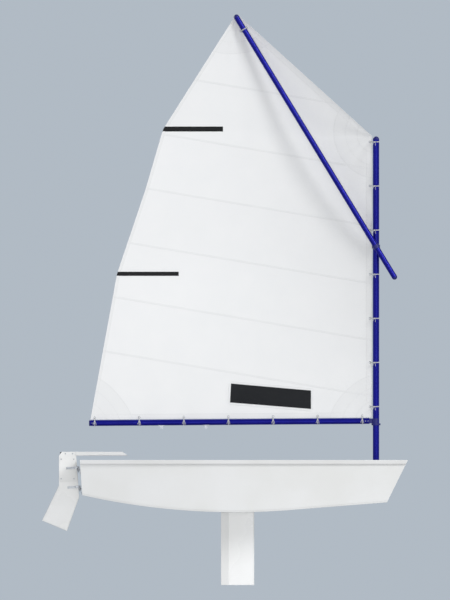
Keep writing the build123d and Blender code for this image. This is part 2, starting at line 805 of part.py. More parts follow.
# Rudder axis: parallel to the stern transom, behind its outer face
rake_rad = math.radians(stern_rake)
axis_up = Vector(-math.sin(rake_rad), 0, math.cos(rake_rad))
axis_top = (-hull_length / 2 - axis_gap * math.cos(rake_rad), sheer_z - axis_gap * math.sin(rake_rad))
helm = Plane(
    origin=(axis_top[0], 0, axis_top[1]),
    x_dir=(math.cos(rake_rad), 0, math.sin(rake_rad)),
    z_dir=tuple(axis_up),
)


def gudgeons():
    """Two plates on the transom, each with a barrel for a pintle."""
    thick, width, height = gudgeon_plate
    solids = []
    for drop in hanging_drops:
        top = -drop
        middle = top - hanging_barrel_height / 2
        plate = Pos(axis_gap - thick / 2, 0, top - height / 2) * Box(thick, width, height)
        plate = fillet(plate.edges().filter_by(Axis.X), gudgeon_plate_round)
        neck = Pos(axis_gap / 2, 0, middle) * Box(axis_gap, hanging_barrel_radius, hanging_barrel_height)
        barrel = Pos(0, 0, middle) * Cylinder(hanging_barrel_radius, hanging_barrel_height)
        bore = Pos(0, 0, middle) * Cylinder(pintle_radius + pintle_clearance, 3 * hanging_barrel_height)
        solids.extend((helm * (plate + neck + barrel - bore)).solids())
    return Compound(children=solids)


def pintles():
    """Two forked straps on the rudder, each with a pin pointing down."""
    half = rudder_thickness / 2 + cheek_thickness
    solids = []
    for drop, inner in zip(hanging_drops, (half, rudder_thickness / 2)):
        foot = hanging_gap - drop
        middle = foot + hanging_barrel_height / 2
        outer = inner + pintle_arm_thickness
        fork = Box(pintle_arm_length, 2 * outer, hanging_barrel_height)
        fork = fork - Pos(-pintle_arm_thickness, 0, 0) * Box(pintle_arm_length, 2 * inner, far)
        fork = Pos(-blade_gap + pintle_arm_thickness - pintle_arm_length / 2, 0, middle) * fork
        neck = Pos(-blade_gap / 2, 0, middle) * Box(blade_gap, hanging_barrel_radius, hanging_barrel_height)
        barrel = Pos(0, 0, middle) * Cylinder(hanging_barrel_radius, hanging_barrel_height)
        pin = Pos(0, 0, foot - pintle_length / 2) * Cylinder(pintle_radius, pintle_length)
        strap = helm * (fork + neck + barrel + pin)
        solids.extend((strap - rudder_plate() - cheeks_shape()).solids())
    return Compound(children=solids)


def leading_edge(height, setback=0):
    """Rudder's forward edge at a height above the sheer, parallel to its axis."""
    z = sheer_z + height
    x = axis_top[0] - (z - axis_top[1]) * stern_tan
    return (x - (blade_gap + setback) / math.cos(rake_rad), z)


def rudder_xz(aft, height):
    """Point on the rudder from its length aft of the axis and its height above the sheer."""
    return (axis_top[0] - aft, sheer_z + height)


def rudder_plate():
    """The whole rudder outline as a plate."""
    head = rudder_outline[0][1]
    rest = [rudder_xz(*point) for point in rudder_outline]
    return plate_xz((leading_edge(head), *rest, leading_edge(rudder_toe)), rudder_thickness)


def cheeks_shape():
    """Two side plates that stiffen the rudder's head and hold the tiller."""
    head_aft = rudder_outline[0][0]
    top = tiller_above_sheer + tiller_height
    outline = (
        leading_edge(top, cheek_setback),
        rudder_xz(head_aft - cheek_corner[0], top),
        rudder_xz(head_aft, top - cheek_corner[1]),
        rudder_xz(head_aft, cheek_bottom),
        leading_edge(cheek_bottom, cheek_setback),
    )
    wide = plate_xz(outline, rudder_thickness + 2 * cheek_thickness)
    return wide - plate_xz(outline, rudder_thickness)


def rudder_blade():
    """Blade, its lower part rounded along every edge."""
    blade = rudder_plate()
    below = sheer_z + rudder_outline[1][1]
    rims = [edge for edge in blade.edges() if edge.center().Z < below and abs(edge.center().Y) > 1]
    return fillet(rims, rudder_edge_round)


def tiller_bar():
    """Bar with a sloping forward end and a thinner tongue held between the cheeks."""
    low, top = tiller_above_sheer, tiller_above_sheer + tiller_height
    outline = (
        rudder_xz(tiller_behind_axis, low),
        rudder_xz(-tiller_reach, low),
        rudder_xz(tiller_tip_slope - tiller_reach, top),
        rudder_xz(tiller_behind_axis, top),
    )
    aft = block(-far, leading_edge(low, cheek_setback)[0] + tongue_shoulder, -far, far, -far, far)
    bar = plate_xz(outline, tiller_width) - aft
    bar = fillet(bar.edges().filter_by(lambda edge: edge.length > tiller_reach / 2), tiller_edge_round)
    tongue = plate_xz(outline, rudder_thickness) & aft
    return bar + (tongue - rudder_plate())


def extension_pivot():
    """Centre of the extension's pivot, beside the tiller."""
    x, z = rudder_xz(pivot_from_tip - tiller_reach, tiller_above_sheer + tiller_height / 2)
    return (x, pivot_y, z)


def extension_bracket():
    """Lug on the tiller's port side with a slot for the extension's knuckle and a hole for its pin."""
    pivot_x, _, middle = extension_pivot()
    half = tiller_height / 2
    side = tiller_width / 2
    lug = block(
        pivot_x - pivot_lug_radius,
        pivot_x + pivot_lug_radius,
        side,
        pivot_y,
        middle - half,
        middle + half,
    )
    lug = lug + Pos(pivot_x, pivot_y, middle) * Cylinder(pivot_lug_radius, tiller_height)
    slot = half - pivot_lug
    room = block(-far, far, side + 6, far, middle - slot, middle + slot)
    bore = Pos(pivot_x, pivot_y, middle) * Cylinder(pivot_radius + pivot_clearance, 3 * tiller_height)
    return lug - room - bore


def rudder_parts():
    """Blade, cheeks, hangings, tiller and the bracket of its extension."""
    return {
        "rudder_blade": rudder_blade(),
        "rudder_cheeks": cheeks_shape(),
        "rudder_pintles": pintles(),
        "tiller": tiller_bar(),
        "extension_bracket": extension_bracket(),
    }


def extension_parts():
    """Knuckle on its pin, tube and grip, folded back beside the tiller."""
    pivot = Pos(*extension_pivot())
    knuckle_height = tiller_height - 2 * pivot_lug - 2 * knuckle_gap
    barrel = Cylinder(pivot_lug_radius - knuckle_gap, knuckle_height)
    neck = Pos(-knuckle_length / 2, 0, 0) * Box(knuckle_length, *knuckle_neck)
    stem = Cylinder(extension_radius - extension_wall, knuckle_stem, rotation=(0, 90, 0))
    stem = Pos(-knuckle_length - knuckle_stem / 2, 0, 0) * stem
    pin = Cylinder(pivot_radius, tiller_height + 2 * pin_end)
    start, end = (-knuckle_length, 0, 0), (-extension_length, 0, 0)
    grip_aft = -extension_length - grip_end
    grip = rod((grip_aft, 0, 0), (grip_aft + grip_length, 0, 0), grip_radius)
    grip = chamfer(grip.edges().filter_by(GeomType.CIRCLE), grip_bevel)
    return {
        "extension_knuckle": pivot * (pin + barrel + neck + stem),
        "extension_tube": pivot * tube(start, end, extension_radius, extension_wall),
        "extension_grip": pivot * (grip - rod(start, end, extension_radius)),
    }


def build():
    """Every node by name."""
    nodes = hull_panels()
    rails = gunwales(nodes)
    nodes.update(rails)
    case = board_case()
    thwart = mast_thwart()
    nodes["mast_thwart"] = thwart
    nodes["mast_bearing"] = mast_bearing()
    nodes["mast_step"] = mast_step()
    nodes["board_case"] = case
    nodes["midship_frame"] = midship_frame(case)
    nodes.update(air_bags())
    nodes["toe_straps"] = toe_straps()
    eye_x = case_aft_x - floor_eye_aft
    eye_z = rocker_z(eye_x, bottom_thickness) - eye_bedding
    nodes["sheet_eye"] = Pos(eye_x, 0, eye_z) * lug_eye() & floor_up
    nodes["gudgeons"] = gudgeons()
    nodes.update(mast_parts())
    nodes.update(boom_parts())
    nodes.update(sprit_parts())
    nodes.update(sail_parts())
    nodes.update(daggerboard_parts())
    nodes.update(rudder_parts())
    nodes.update(extension_parts())
    return nodes


os.makedirs("parts", exist_ok=True)
for node_name, shape in build().items():
    solids = shape.solids()
    whole = solids[0] if len(solids) == 1 else Compound(children=list(solids))
    export_step(whole, f"parts/{node_name}.step")
    print(node_name, len(solids), round(sum(s.volume for s in solids) / 1000, 1), "cm3")
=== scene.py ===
import bpy
import bmesh
import json
import math
import numpy as np
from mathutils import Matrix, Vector
from mathutils.bvhtree import BVHTree

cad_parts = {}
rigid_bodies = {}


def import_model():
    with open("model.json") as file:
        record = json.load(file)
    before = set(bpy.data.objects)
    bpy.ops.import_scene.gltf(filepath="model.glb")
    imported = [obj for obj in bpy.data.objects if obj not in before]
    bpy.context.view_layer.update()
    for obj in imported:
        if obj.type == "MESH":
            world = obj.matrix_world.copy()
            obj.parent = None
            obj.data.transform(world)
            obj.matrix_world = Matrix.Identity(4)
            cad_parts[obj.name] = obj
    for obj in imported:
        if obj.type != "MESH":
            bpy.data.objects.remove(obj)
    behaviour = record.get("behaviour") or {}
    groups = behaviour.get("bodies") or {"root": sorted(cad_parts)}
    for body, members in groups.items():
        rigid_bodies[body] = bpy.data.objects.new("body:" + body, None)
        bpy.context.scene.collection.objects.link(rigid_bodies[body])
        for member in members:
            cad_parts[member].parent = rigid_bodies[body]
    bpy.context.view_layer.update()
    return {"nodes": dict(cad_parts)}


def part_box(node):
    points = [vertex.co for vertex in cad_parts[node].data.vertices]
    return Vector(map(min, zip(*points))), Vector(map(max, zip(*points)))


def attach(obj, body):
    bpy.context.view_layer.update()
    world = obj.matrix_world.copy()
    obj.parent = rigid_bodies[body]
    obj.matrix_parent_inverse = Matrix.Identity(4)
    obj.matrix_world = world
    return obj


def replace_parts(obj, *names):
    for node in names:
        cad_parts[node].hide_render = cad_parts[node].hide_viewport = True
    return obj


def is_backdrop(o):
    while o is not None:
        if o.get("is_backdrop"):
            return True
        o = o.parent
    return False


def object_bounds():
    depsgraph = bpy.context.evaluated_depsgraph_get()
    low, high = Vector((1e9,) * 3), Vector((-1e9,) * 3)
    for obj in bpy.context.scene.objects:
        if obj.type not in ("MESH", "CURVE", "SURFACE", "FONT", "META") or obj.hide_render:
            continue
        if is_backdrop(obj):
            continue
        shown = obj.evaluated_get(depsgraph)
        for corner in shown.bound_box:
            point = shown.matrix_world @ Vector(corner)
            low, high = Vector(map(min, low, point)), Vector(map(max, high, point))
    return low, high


# Spritsail pram dinghy, seen square on from its starboard side.
# Metres, x forward, y to port, z up from the water.

for leftover in list(bpy.data.objects):
    bpy.data.objects.remove(leftover)

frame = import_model()
nodes = frame["nodes"]
scene = bpy.context.scene
scene.view_settings.view_transform = "Standard"
print("frame loaded:", len(nodes), "nodes")


# Nodes, for materials, Geometry Nodes and the world

class Wire:
    # a node's output; arithmetic on it adds Math nodes
    def __init__(self, kit, socket):
        self.kit = kit
        self.socket = socket

    def __add__(self, other):
        return self.kit.maths("ADD", self, other)

    def __radd__(self, other):
        return self.kit.maths("ADD", other, self)

    def __sub__(self, other):
        return self.kit.maths("SUBTRACT", self, other)

    def __rsub__(self, other):
        return self.kit.maths("SUBTRACT", other, self)

    def __mul__(self, other):
        return self.kit.maths("MULTIPLY", self, other)

    def __rmul__(self, other):
        return self.kit.maths("MULTIPLY", other, self)

    def __truediv__(self, other):
        return self.kit.maths("DIVIDE", self, other)

    def __rtruediv__(self, other):
        return self.kit.maths("DIVIDE", other, self)


class NodeKit:
    # adds nodes to one tree; a socket takes a Wire or a plain value
    def __init__(self, tree):
        self.tree = tree

    def feed(self, socket, value):
        if isinstance(value, Wire):
            self.tree.links.new(value.socket, socket)
        elif isinstance(value, tuple) and len(value) == 3 and len(socket.default_value) == 4:
            socket.default_value = (*value, 1)
        else:
            socket.default_value = value

    def node(self, kind, settings=None, sockets=None, output=0):
        made = self.tree.nodes.new(kind)
        for key, value in (settings or {}).items():
            setattr(made, key, value)
        for key, value in (sockets or {}).items():
            self.feed(made.inputs[key], value)
        return Wire(self, made.outputs[output]) if made.outputs else None

    def maths(self, operation, *values):
        return self.node("ShaderNodeMath", {"operation": operation}, dict(enumerate(values)))


class Paint(NodeKit):
    # one material: its Principled shader and the ways to add nodes to it
    def __init__(self, name, **constants):
        self.material = bpy.data.materials.new(name)
        self.material.use_nodes = True
        super().__init__(self.material.node_tree)
        self.shader = self.tree.nodes["Principled BSDF"]
        self.output = self.tree.nodes["Material Output"]
        for key, value in constants.items():
            self.shader.inputs[key.replace("_", " ")].default_value = value

    def step(self, value, low, high):
        # smooth step from 0 at low to 1 at high
        sockets = {"Value": value, "From Min": low, "From Max": high}
        return self.node("ShaderNodeMapRange", {"interpolation_type": "SMOOTHSTEP"}, sockets)

    def mix(self, share, first, second):
        return self.node("ShaderNodeMix", {"data_type": "RGBA"}, {0: share, 6: first, 7: second}, 2)

    def place(self, output="Object"):
        return self.node("ShaderNodeTexCoord", output=output)

    def stretched(self, vector, scale):
        return self.node("ShaderNodeMapping", None, {"Vector": vector, "Scale": scale})

    def noise(self, vector, scale, detail=3.0, roughness=0.5):
        sockets = {"Vector": vector, "Scale": scale, "Detail": detail, "Roughness": roughness}
        return self.node("ShaderNodeTexNoise", None, sockets)

    def axes(self, vector):
        split = self.node("ShaderNodeSeparateXYZ", None, {0: vector})
        return [Wire(self, socket) for socket in split.socket.node.outputs]

    def bump(self, height, distance, strength=1.0, normal=None):
        sockets = {"Height": height, "Distance": distance, "Strength": strength}
        if normal:
            sockets["Normal"] = normal
        return self.node("ShaderNodeBump", None, sockets)

    def softEdges(self, radius):
        # a rounded normal, and a mask that is 1 on corners, where it leaves the face's own
        rounded = self.node("ShaderNodeBevel", {"samples": 6}, {"Radius": radius})
        flat = self.node("ShaderNodeNewGeometry", output="Normal")
        dot = {"operation": "DOT_PRODUCT"}
        along = self.node("ShaderNodeVectorMath", dot, {0: rounded, 1: flat}, "Value")
        return rounded, self.step(1 - along, 0.01, 0.16)

    def finish(self, colour, roughness=None, normal=None):
        for key, value in (("Base Color", colour), ("Roughness", roughness), ("Normal", normal)):
            if value:
                self.feed(self.shader.inputs[key], value)
        return self.material


# Materials

# the floor's rough panels, two of them on each side
skidPanels = {
    "across": (0.050, 0.320),
    "aft": (-1.010, -0.300),
    "fore": (-0.140, 0.440),
    "edge": 0.002,
    "studs": 260,
}


def within(paint, value, reach):
    # 1 between the two ends of a reach
    soft = skidPanels["edge"]
    start, end = (paint.step(value, place - soft, place + soft) for place in reach)
    return start * (1 - end)


def gelcoatPaint(name, colour, grimy, roughness=0.2, shine=0.35, nonSkid=False):
    paint = Paint(name, Coat_Weight=shine, Coat_Roughness=0.08, Specular_IOR_Level=0.25 if nonSkid else 0.5)
    where = paint.place()
    rounded, edge = paint.softEdges(0.0035)
    cloud = paint.noise(where, 2.2, 4.0)
    scuffs = paint.step(paint.noise(paint.stretched(where, (3, 30, 60)), 6.0, 5.0, 0.7), 0.62, 0.74)
    tone = paint.mix(paint.step(cloud, 0.35, 0.75) * 0.55, colour, grimy)
    tone = paint.mix(edge * paint.step(paint.noise(where, 25.0), 0.45, 0.65) * 0.35, tone, grimy)
    peel = paint.noise(where, 420.0, 2.0) * 0.06 + paint.noise(where, 9.0, 2.0)
    normal = paint.bump(peel, 0.0012, 0.5, rounded)
    rough = roughness + cloud * 0.06 + scuffs * 0.12 + edge * 0.1
    if nonSkid:
        x, y = paint.axes(where)[:2]
        up = paint.axes(paint.node("ShaderNodeNewGeometry", output="Normal"))[2]
        ways = [paint.maths("SINE", way * skidPanels["studs"]) for way in (x + y, x - y)]
        studs = ways[0] * ways[1]
        across = within(paint, paint.maths("ABSOLUTE", y), skidPanels["across"])
        along = within(paint, x, skidPanels["aft"]) + within(paint, x, skidPanels["fore"])
        panel = paint.step(up, 0.8, 0.95) * across * along
        field = panel * paint.step(paint.maths("ABSOLUTE", studs), 0.3, 0.6)
        normal = paint.bump(panel * 0.6 + field, 0.0016, 1.0, normal)
        tone = paint.mix(panel * 0.12 + field * 0.12, tone, grimy)
        rough = rough + panel * 0.25
    return paint.finish(tone, rough, normal)


def anodisedPaint(name, axis):
    # brushed along the tube, dyed navy
    paint = Paint(name, Coat_Weight=0.04, Coat_Roughness=0.2, Metallic=0.5, Specular_IOR_Level=0.28)
    where = paint.place()
    stretch = [260.0, 260.0, 260.0]
    stretch[axis] = 4.0
    brushed = paint.noise(paint.stretched(where, tuple(stretch)), 1.0, 4.0, 0.6)
    dye = paint.noise(where, 5.0, 3.0)
    worn = paint.step(paint.noise(where, 34.0, 6.0, 0.7), 0.66, 0.78)
    tone = paint.mix(paint.step(dye, 0.3, 0.7) * 0.6, (0.0015, 0.002, 0.205), (0.003, 0.004, 0.275))
    tone = paint.mix(worn * 0.16, tone, (0.07, 0.08, 0.36))
    return paint.finish(tone, 0.26 + brushed * 0.16 + worn * 0.15, paint.bump(brushed, 0.0002, 0.35))


def mouldedPaint(name, dark, pale, roughness, grain=700.0):
    paint = Paint(name)
    where = paint.place()
    rounded, edge = paint.softEdges(0.0012)
    speckle = paint.noise(where, grain, 2.0)
    tone = paint.mix(paint.noise(where, 18.0, 4.0) * 0.6 + edge * 0.35, dark, pale)
    return paint.finish(tone, roughness + speckle * 0.12, paint.bump(speckle, 0.0002, 0.5, rounded))


def steelPaint(name):
    paint = Paint(name, Metallic=1.0)
    where = paint.place()
    rounded, edge = paint.softEdges(0.0008)
    brushed = paint.noise(paint.stretched(where, (40, 900, 900)), 1.0, 3.0)
    stain = paint.step(paint.noise(where, 60.0, 5.0), 0.5, 0.75)
    tone = paint.mix(stain * 0.5, (0.50, 0.51, 0.53), (0.27, 0.265, 0.26))
    tone = paint.mix(edge * 0.5, tone, (0.78, 0.79, 0.81))
    normal = paint.bump(brushed, 0.0001, 0.4, rounded)
    return paint.finish(tone, 0.24 + brushed * 0.14 + stain * 0.12, normal)


def wovenPaint(name, dark, pale, pitch, roughness, sheen=0.15, shine=0.5):
    # plain weave on the piece's own UV map, which is in metres
    paint = Paint(name, Sheen_Weight=sheen, Sheen_Roughness=0.4, Specular_IOR_Level=shine)
    u, v = paint.axes(paint.place("UV"))[:2]
    turn = 2 * math.pi / pitch
    warp = paint.maths("SINE", u * turn)
    weft = paint.maths("SINE", v * turn)
    threads = warp * weft * 0.5 + 0.5
    where = paint.place()
    tone = paint.mix(threads * 0.5 + paint.noise(where, 6.0, 4.0) * 0.5, dark, pale)
    normal = paint.bump(threads + paint.noise(where, 900.0, 2.0) * 0.3, pitch * 0.18, 0.6)
    return paint.finish(tone, roughness + threads * 0.1, normal)


def filmPaint(name):
    paint = Paint(name, Coat_Weight=0.12, Coat_Roughness=0.04, Specular_IOR_Level=0.3)
    where = paint.place()
    smear = paint.noise(where, 7.0, 4.0)
    scratch = paint.step(paint.noise(paint.stretched(where, (2, 40, 90)), 4.0, 5.0, 0.75), 0.64, 0.7)
    tone = paint.mix(smear * 0.5 + scratch * 0.3, (0.007, 0.007, 0.008), (0.02, 0.02, 0.021))
    normal = paint.bump(paint.noise(where, 11.0, 2.0), 0.004, 0.35)
    return paint.finish(tone, 0.12 + smear * 0.1 + scratch * 0.2, normal)


def ropePaint(name, dark, pale):
    paint = Paint(name, Sheen_Weight=0.2)
    where = paint.place()
    fibres = paint.noise(paint.stretched(where, (500, 500, 900)), 1.0, 4.0)
    tone = paint.mix(fibres * 0.8, dark, pale)
    return paint.finish(tone, 0.7 + fibres * 0.15, paint.bump(fibres, 0.0003, 0.6))


paints = {
    "hull": gelcoatPaint("hull_gelcoat", (0.875, 0.88, 0.88), (0.79, 0.79, 0.765)),
    "floor": gelcoatPaint("floor_gelcoat", (0.81, 0.82, 0.82), (0.66, 0.66, 0.64), 0.56, 0.0, nonSkid=True),
    "trim": gelcoatPaint("trim_moulding", (0.84, 0.845, 0.85), (0.72, 0.72, 0.70), 0.32, 0.22),
    "foil": gelcoatPaint("foil_gelcoat", (0.86, 0.865, 0.865), (0.78, 0.78, 0.76), 0.24, 0.15),
    "mast": anodisedPaint("mast_anodised", 2),
    "boom": anodisedPaint("boom_anodised", 0),
    "fitting": mouldedPaint("navy_nylon", (0.003, 0.0035, 0.13), (0.008, 0.01, 0.2), 0.42),
    "steel": steelPaint("stainless_steel"),
    "sail": wovenPaint("sail_polyester", (0.81, 0.82, 0.83), (0.89, 0.89, 0.89), 0.0016, 0.5, 0.1),
    "tape": wovenPaint("sail_tape", (0.78, 0.79, 0.80), (0.86, 0.86, 0.86), 0.0011, 0.55, 0.1),
    "pocket": wovenPaint(
        "batten_cloth", (0.007, 0.007, 0.0075), (0.016, 0.016, 0.017), 0.0013, 0.6, 0.04, 0.2
    ),
    "film": filmPaint("window_film"),
    "thread": ropePaint("white_thread", (0.55, 0.56, 0.57), (0.78, 0.79, 0.80)),
    "darkThread": ropePaint("dark_thread", (0.02, 0.02, 0.022), (0.06, 0.06, 0.065)),
    "rope": ropePaint("white_lashing", (0.5, 0.51, 0.52), (0.82, 0.82, 0.81)),
    "webbing": wovenPaint("navy_webbing", (0.004, 0.005, 0.07), (0.014, 0.016, 0.17), 0.0021, 0.62, 0.3),
    "bag": mouldedPaint("bag_coated_cloth", (0.68, 0.69, 0.69), (0.80, 0.80, 0.79), 0.34, 1400.0),
    "rubber": mouldedPaint("black_rubber", (0.008, 0.008, 0.008), (0.03, 0.03, 0.03), 0.6),
}
print("materials:", len(paints))

nodePaints = {
    "hull": "hull_side_port hull_side_starboard bow_transom stern_transom midship_frame board_case "
    "mast_step",
    "floor": "hull_bottom",
    "trim": "gunwale_port gunwale_starboard bow_capping stern_capping mast_thwart tiller "
    "rudder_cheeks",
    "foil": "rudder_blade daggerboard daggerboard_stops",
    "mast": "mast_tube sprit_tube extension_tube",
    "boom": "boom_tube",
    "fitting": "mast_bearing mast_head mast_heel boom_rest_collar boom_jaws boom_end sprit_peak_end "
    "sprit_foot_end sprit_collar",
    "steel": "sheet_eye gudgeons boom_sheet_eyes rudder_pintles extension_bracket extension_knuckle",
    "webbing": "bag_straps_port bag_straps_starboard bag_straps_bow toe_straps",
    "bag": "air_bag_port air_bag_starboard air_bag_bow",
    "rubber": "extension_grip",
    "sail": "sail",
    "film": "sail_window",
    "pocket": "batten_upper batten_lower",
    "rope": "luff_ties foot_ties peak_tie",
}
for key, names in nodePaints.items():
    for name in names.split():
        held = nodes[name].data.materials
        held.clear()
        held.append(paints[key])
print("CAD nodes finished:", sum(len(names.split()) for names in nodePaints.values()))


# Making meshes

sharpFrom = math.radians(38)
up = Vector((0, 0, 1))
toPort = Vector((0, 1, 0))


def newObject(name, data):
    made = bpy.data.objects.new(name, data)
    scene.collection.objects.link(made)
    return made


def newMesh(name, vertices, edges, faces):
    mesh = bpy.data.meshes.new(name)
    mesh.from_pydata(vertices, edges, faces)
    mesh.shade_smooth()
    return mesh


def belong(piece, slot, body):
    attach(piece, body)
    return piece


def fixNormals(piece):
    shape = bmesh.new()
    shape.from_mesh(piece.data)
    bmesh.ops.remove_doubles(shape, verts=shape.verts, dist=1e-6)
    bmesh.ops.recalc_face_normals(shape, faces=shape.faces)
    shape.to_mesh(piece.data)
    shape.free()
    piece.data.set_sharp_from_angle(angle=sharpFrom)


def addPiece(name, shape, paint, body, slot, closed=True):
    # shape is (vertices, faces) or (vertices, faces, uvs)
    vertices, faces, uvs = (*shape, None)[:3]
    mesh = newMesh(name, vertices, [], faces)
    if uvs:
        layer = mesh.uv_layers.new(name="UVMap")
        for loop in mesh.loops:
            layer.data[loop.index].uv = uvs[loop.vertex_index]
    mesh.set_sharp_from_angle(angle=sharpFrom)
    mesh.materials.append(paints[paint])
    piece = belong(newObject(name, mesh), slot, body)
    if closed:
        fixNormals(piece)
    return piece


def gridFaces(rows, columns, start=0, closed=False):
    faces = []
    for row in range(rows - 1):
        for column in range(columns if closed else columns - 1):
            a = start + row * columns + column
            b = start + row * columns + (column + 1) % columns
            faces.append((a, b, b + columns, a + columns))
    return faces


def tubeFaces(rings, sides):
    # a tube's faces, both its ends capped
    faces = gridFaces(rings, sides, closed=True)
    faces.append(tuple(range(sides - 1, -1, -1)))
    faces.append(tuple(range((rings - 1) * sides, rings * sides)))
    return faces


def turnsRound(count):
    return [2 * math.pi * i / count for i in range(count)]


def lathe(profile, start, along, sides):
    # closed turned shape: profile is (distance along, radius)
    start, along = Vector(start), Vector(along).normalized()
    across = along.orthogonal().normalized()
    other = along.cross(across)
    vertices = []
    for distance, radius in profile:
        centre = start + along * distance
        for turn in turnsRound(sides):
            vertices.append(centre + (across * math.cos(turn) + other * math.sin(turn)) * radius)
    return vertices, tubeFaces(len(profile), sides)


def ribbon(path, across, width, thickness):
    # flat band with softened edges along points; across is the direction over its width
    half, deep = width / 2, thickness / 2
    soft = thickness * 0.35
    section = [(half, 0), (half - soft * 0.4, deep * 0.75), (half - soft, deep), (0, deep)]
    section += [(-y, z) for y, z in reversed(section[:-1])]
    section += [(-y, -z) for y, z in section[1:-1]]
    vertices, uvs, run = [], [], 0
    for i, point in enumerate(path):
        before, after = path[max(i - 1, 0)], path[min(i + 1, len(path) - 1)]
        tangent = (after - before).normalized()
        side = (across - tangent * tangent.dot(across)).normalized()
        out = tangent.cross(side)
        if i:
            run += (point - path[i - 1]).length
        for y, z in section:
            vertices.append(point + side * y + out * z)
            uvs.append((run, y + (0.4 if z < 0 else 0)))
    return vertices, tubeFaces(len(path), len(section)), uvs


def joinShapes(shapes):
    # several (vertices, faces[, uvs]) as one
    vertices, faces, uvs = [], [], []
    for shape in shapes:
        start = len(vertices)
        vertices += list(shape[0])
        faces += [tuple(i + start for i in face) for face in shape[1]]
        if len(shape) > 2:
            uvs += shape[2]
    return vertices, faces, (uvs or None)


def plate(centre, normal, across, length, width, thickness, corner=0.004):
    # flat plate with round corners, lying on centre with its length along across
    normal, across = normal.normalized(), across.normalized()
    other = normal.cross(across)
    outline = []
    for cornerX, cornerY, turn in ((1, 1, 0), (-1, 1, 1), (-1, -1, 2), (1, -1, 3)):
        for i in range(5):
            angle = (turn + i / 4) * math.pi / 2
            x = cornerX * (length / 2 - corner) + corner * math.cos(angle)
            y = cornerY * (width / 2 - corner) + corner * math.sin(angle)
            outline.append((x, y))
    vertices = []
    for height, shrink in ((0, 1), (thickness * 0.75, 1), (thickness, 0.985)):
        vertices += [centre + across * x * shrink + other * y * shrink + normal * height for x, y in outline]
    return vertices, tubeFaces(3, len(outline))


def bar(start, end, width, height, out):
    # straight rectangular bar
    middle = (start + end) / 2 - out * height / 2
    return plate(middle, out, end - start, (end - start).length, width, height, width * 0.3)


def rayTree(piece):
    # for ray casts against a piece or a CAD node
    points = [v.co for v in piece.data.vertices]
    return BVHTree.FromPolygons(points, [p.vertices for p in piece.data.polygons])


def applyModifiers(piece):
    # leaves the piece as it is shown, as a plain mesh
    shown = bpy.data.meshes.new_from_object(piece.evaluated_get(bpy.context.evaluated_depsgraph_get()))
    piece.modifiers.clear()
    piece.data = shown
    return shown


# Geometry Nodes

class Growth(NodeKit):
    # one Geometry Nodes tree with named inputs; grow() runs it on an object and leaves a plain mesh
    def __init__(self, name, **inputs):
        super().__init__(bpy.data.node_groups.new(name, "GeometryNodeTree"))
        face = self.tree.interface
        face.new_socket(name="Geometry", in_out="INPUT", socket_type="NodeSocketGeometry")
        face.new_socket(name="Geometry", in_out="OUTPUT", socket_type="NodeSocketGeometry")
        self.identifiers = {}
        for key, kind in inputs.items():
            made = face.new_socket(name=key, in_out="INPUT", socket_type="NodeSocket" + kind)
            self.identifiers[key] = made.identifier
        entry = self.tree.nodes.new("NodeGroupInput")
        self.named = {socket.name: Wire(self, socket) for socket in entry.outputs}

    def facing(self):
        settings = {"data_type": "FLOAT_VECTOR"}
        return self.node("GeometryNodeInputNamedAttribute", settings, {"Name": "facing"}, "Attribute")

    def spaced(self, length):
        # points at even steps along the lines
        curve = self.node("GeometryNodeMeshToCurve", None, {"Mesh": self.named["Geometry"]})
        return self.node("GeometryNodeResampleCurve", {"mode": "LENGTH"}, {"Curve": curve, "Length": length})

    def setOut(self, points, shape, rotation, spin, **sockets):
        # the shape on each point, spun about its own upright axis
        shown = self.node("GeometryNodeObjectInfo", None, {"Object": self.named[shape]}, "Geometry")
        sockets.update({"Points": points, "Instance": shown, "Rotation": rotation})
        placed = self.node("GeometryNodeInstanceOnPoints", None, sockets)
        turn = self.node("ShaderNodeCombineXYZ", None, {"Z": spin})
        return self.node("GeometryNodeRotateInstances", None, {"Instances": placed, "Rotation": turn})

    def close(self, geometry):
        real = self.node("GeometryNodeRealizeInstances", None, {"Geometry": geometry})
        sockets = {"Geometry": real, "Material": self.named["Material"]}
        painted = self.node("GeometryNodeSetMaterial", None, sockets)
        self.node("NodeGroupOutput", None, {0: painted})
        return self

    def grow(self, piece, **values):
        modifier = piece.modifiers.new("growth", "NODES")
        modifier.node_group = self.tree
        for key, value in values.items():
            modifier[self.identifiers[key]] = value
        applyModifiers(piece)


def linePiece(name, lines, closed=False):
    # polylines whose points carry a facing direction, as edges for a tree
    vertices, edges, facing = [], [], []
    for line in lines:
        start = len(vertices)
        for point, direction in line:
            vertices.append(point)
            facing.extend(direction)
        edges += [(i, i + 1) for i in range(start, len(vertices) - 1)]
        if closed:
            edges.append((len(vertices) - 1, start))
    mesh = newMesh(name, vertices, edges, [])
    held = mesh.attributes.new("facing", "FLOAT_VECTOR", "POINT")
    held.data.foreach_set("vector", facing)
    return newObject(name, mesh)


def fastenerGrowth():
    # one head on each point, its top along the point's facing direction, each turned at random
    growth = Growth("fasteners", Head="Object", Size="Float", Seed="Int", Material="Material")
    sockets = {"Seed": growth.named["Seed"], 3: 2 * math.pi}
    turn = growth.node("FunctionNodeRandomValue", {"data_type": "FLOAT"}, sockets, 1)
    sockets = {"Vector": growth.facing()}
    upright = growth.node("FunctionNodeAlignRotationToVector", {"axis": "Z"}, sockets)
    points, size = growth.named["Geometry"], growth.named["Size"]
    return growth.close(growth.setOut(points, "Head", upright, turn, Scale=size))


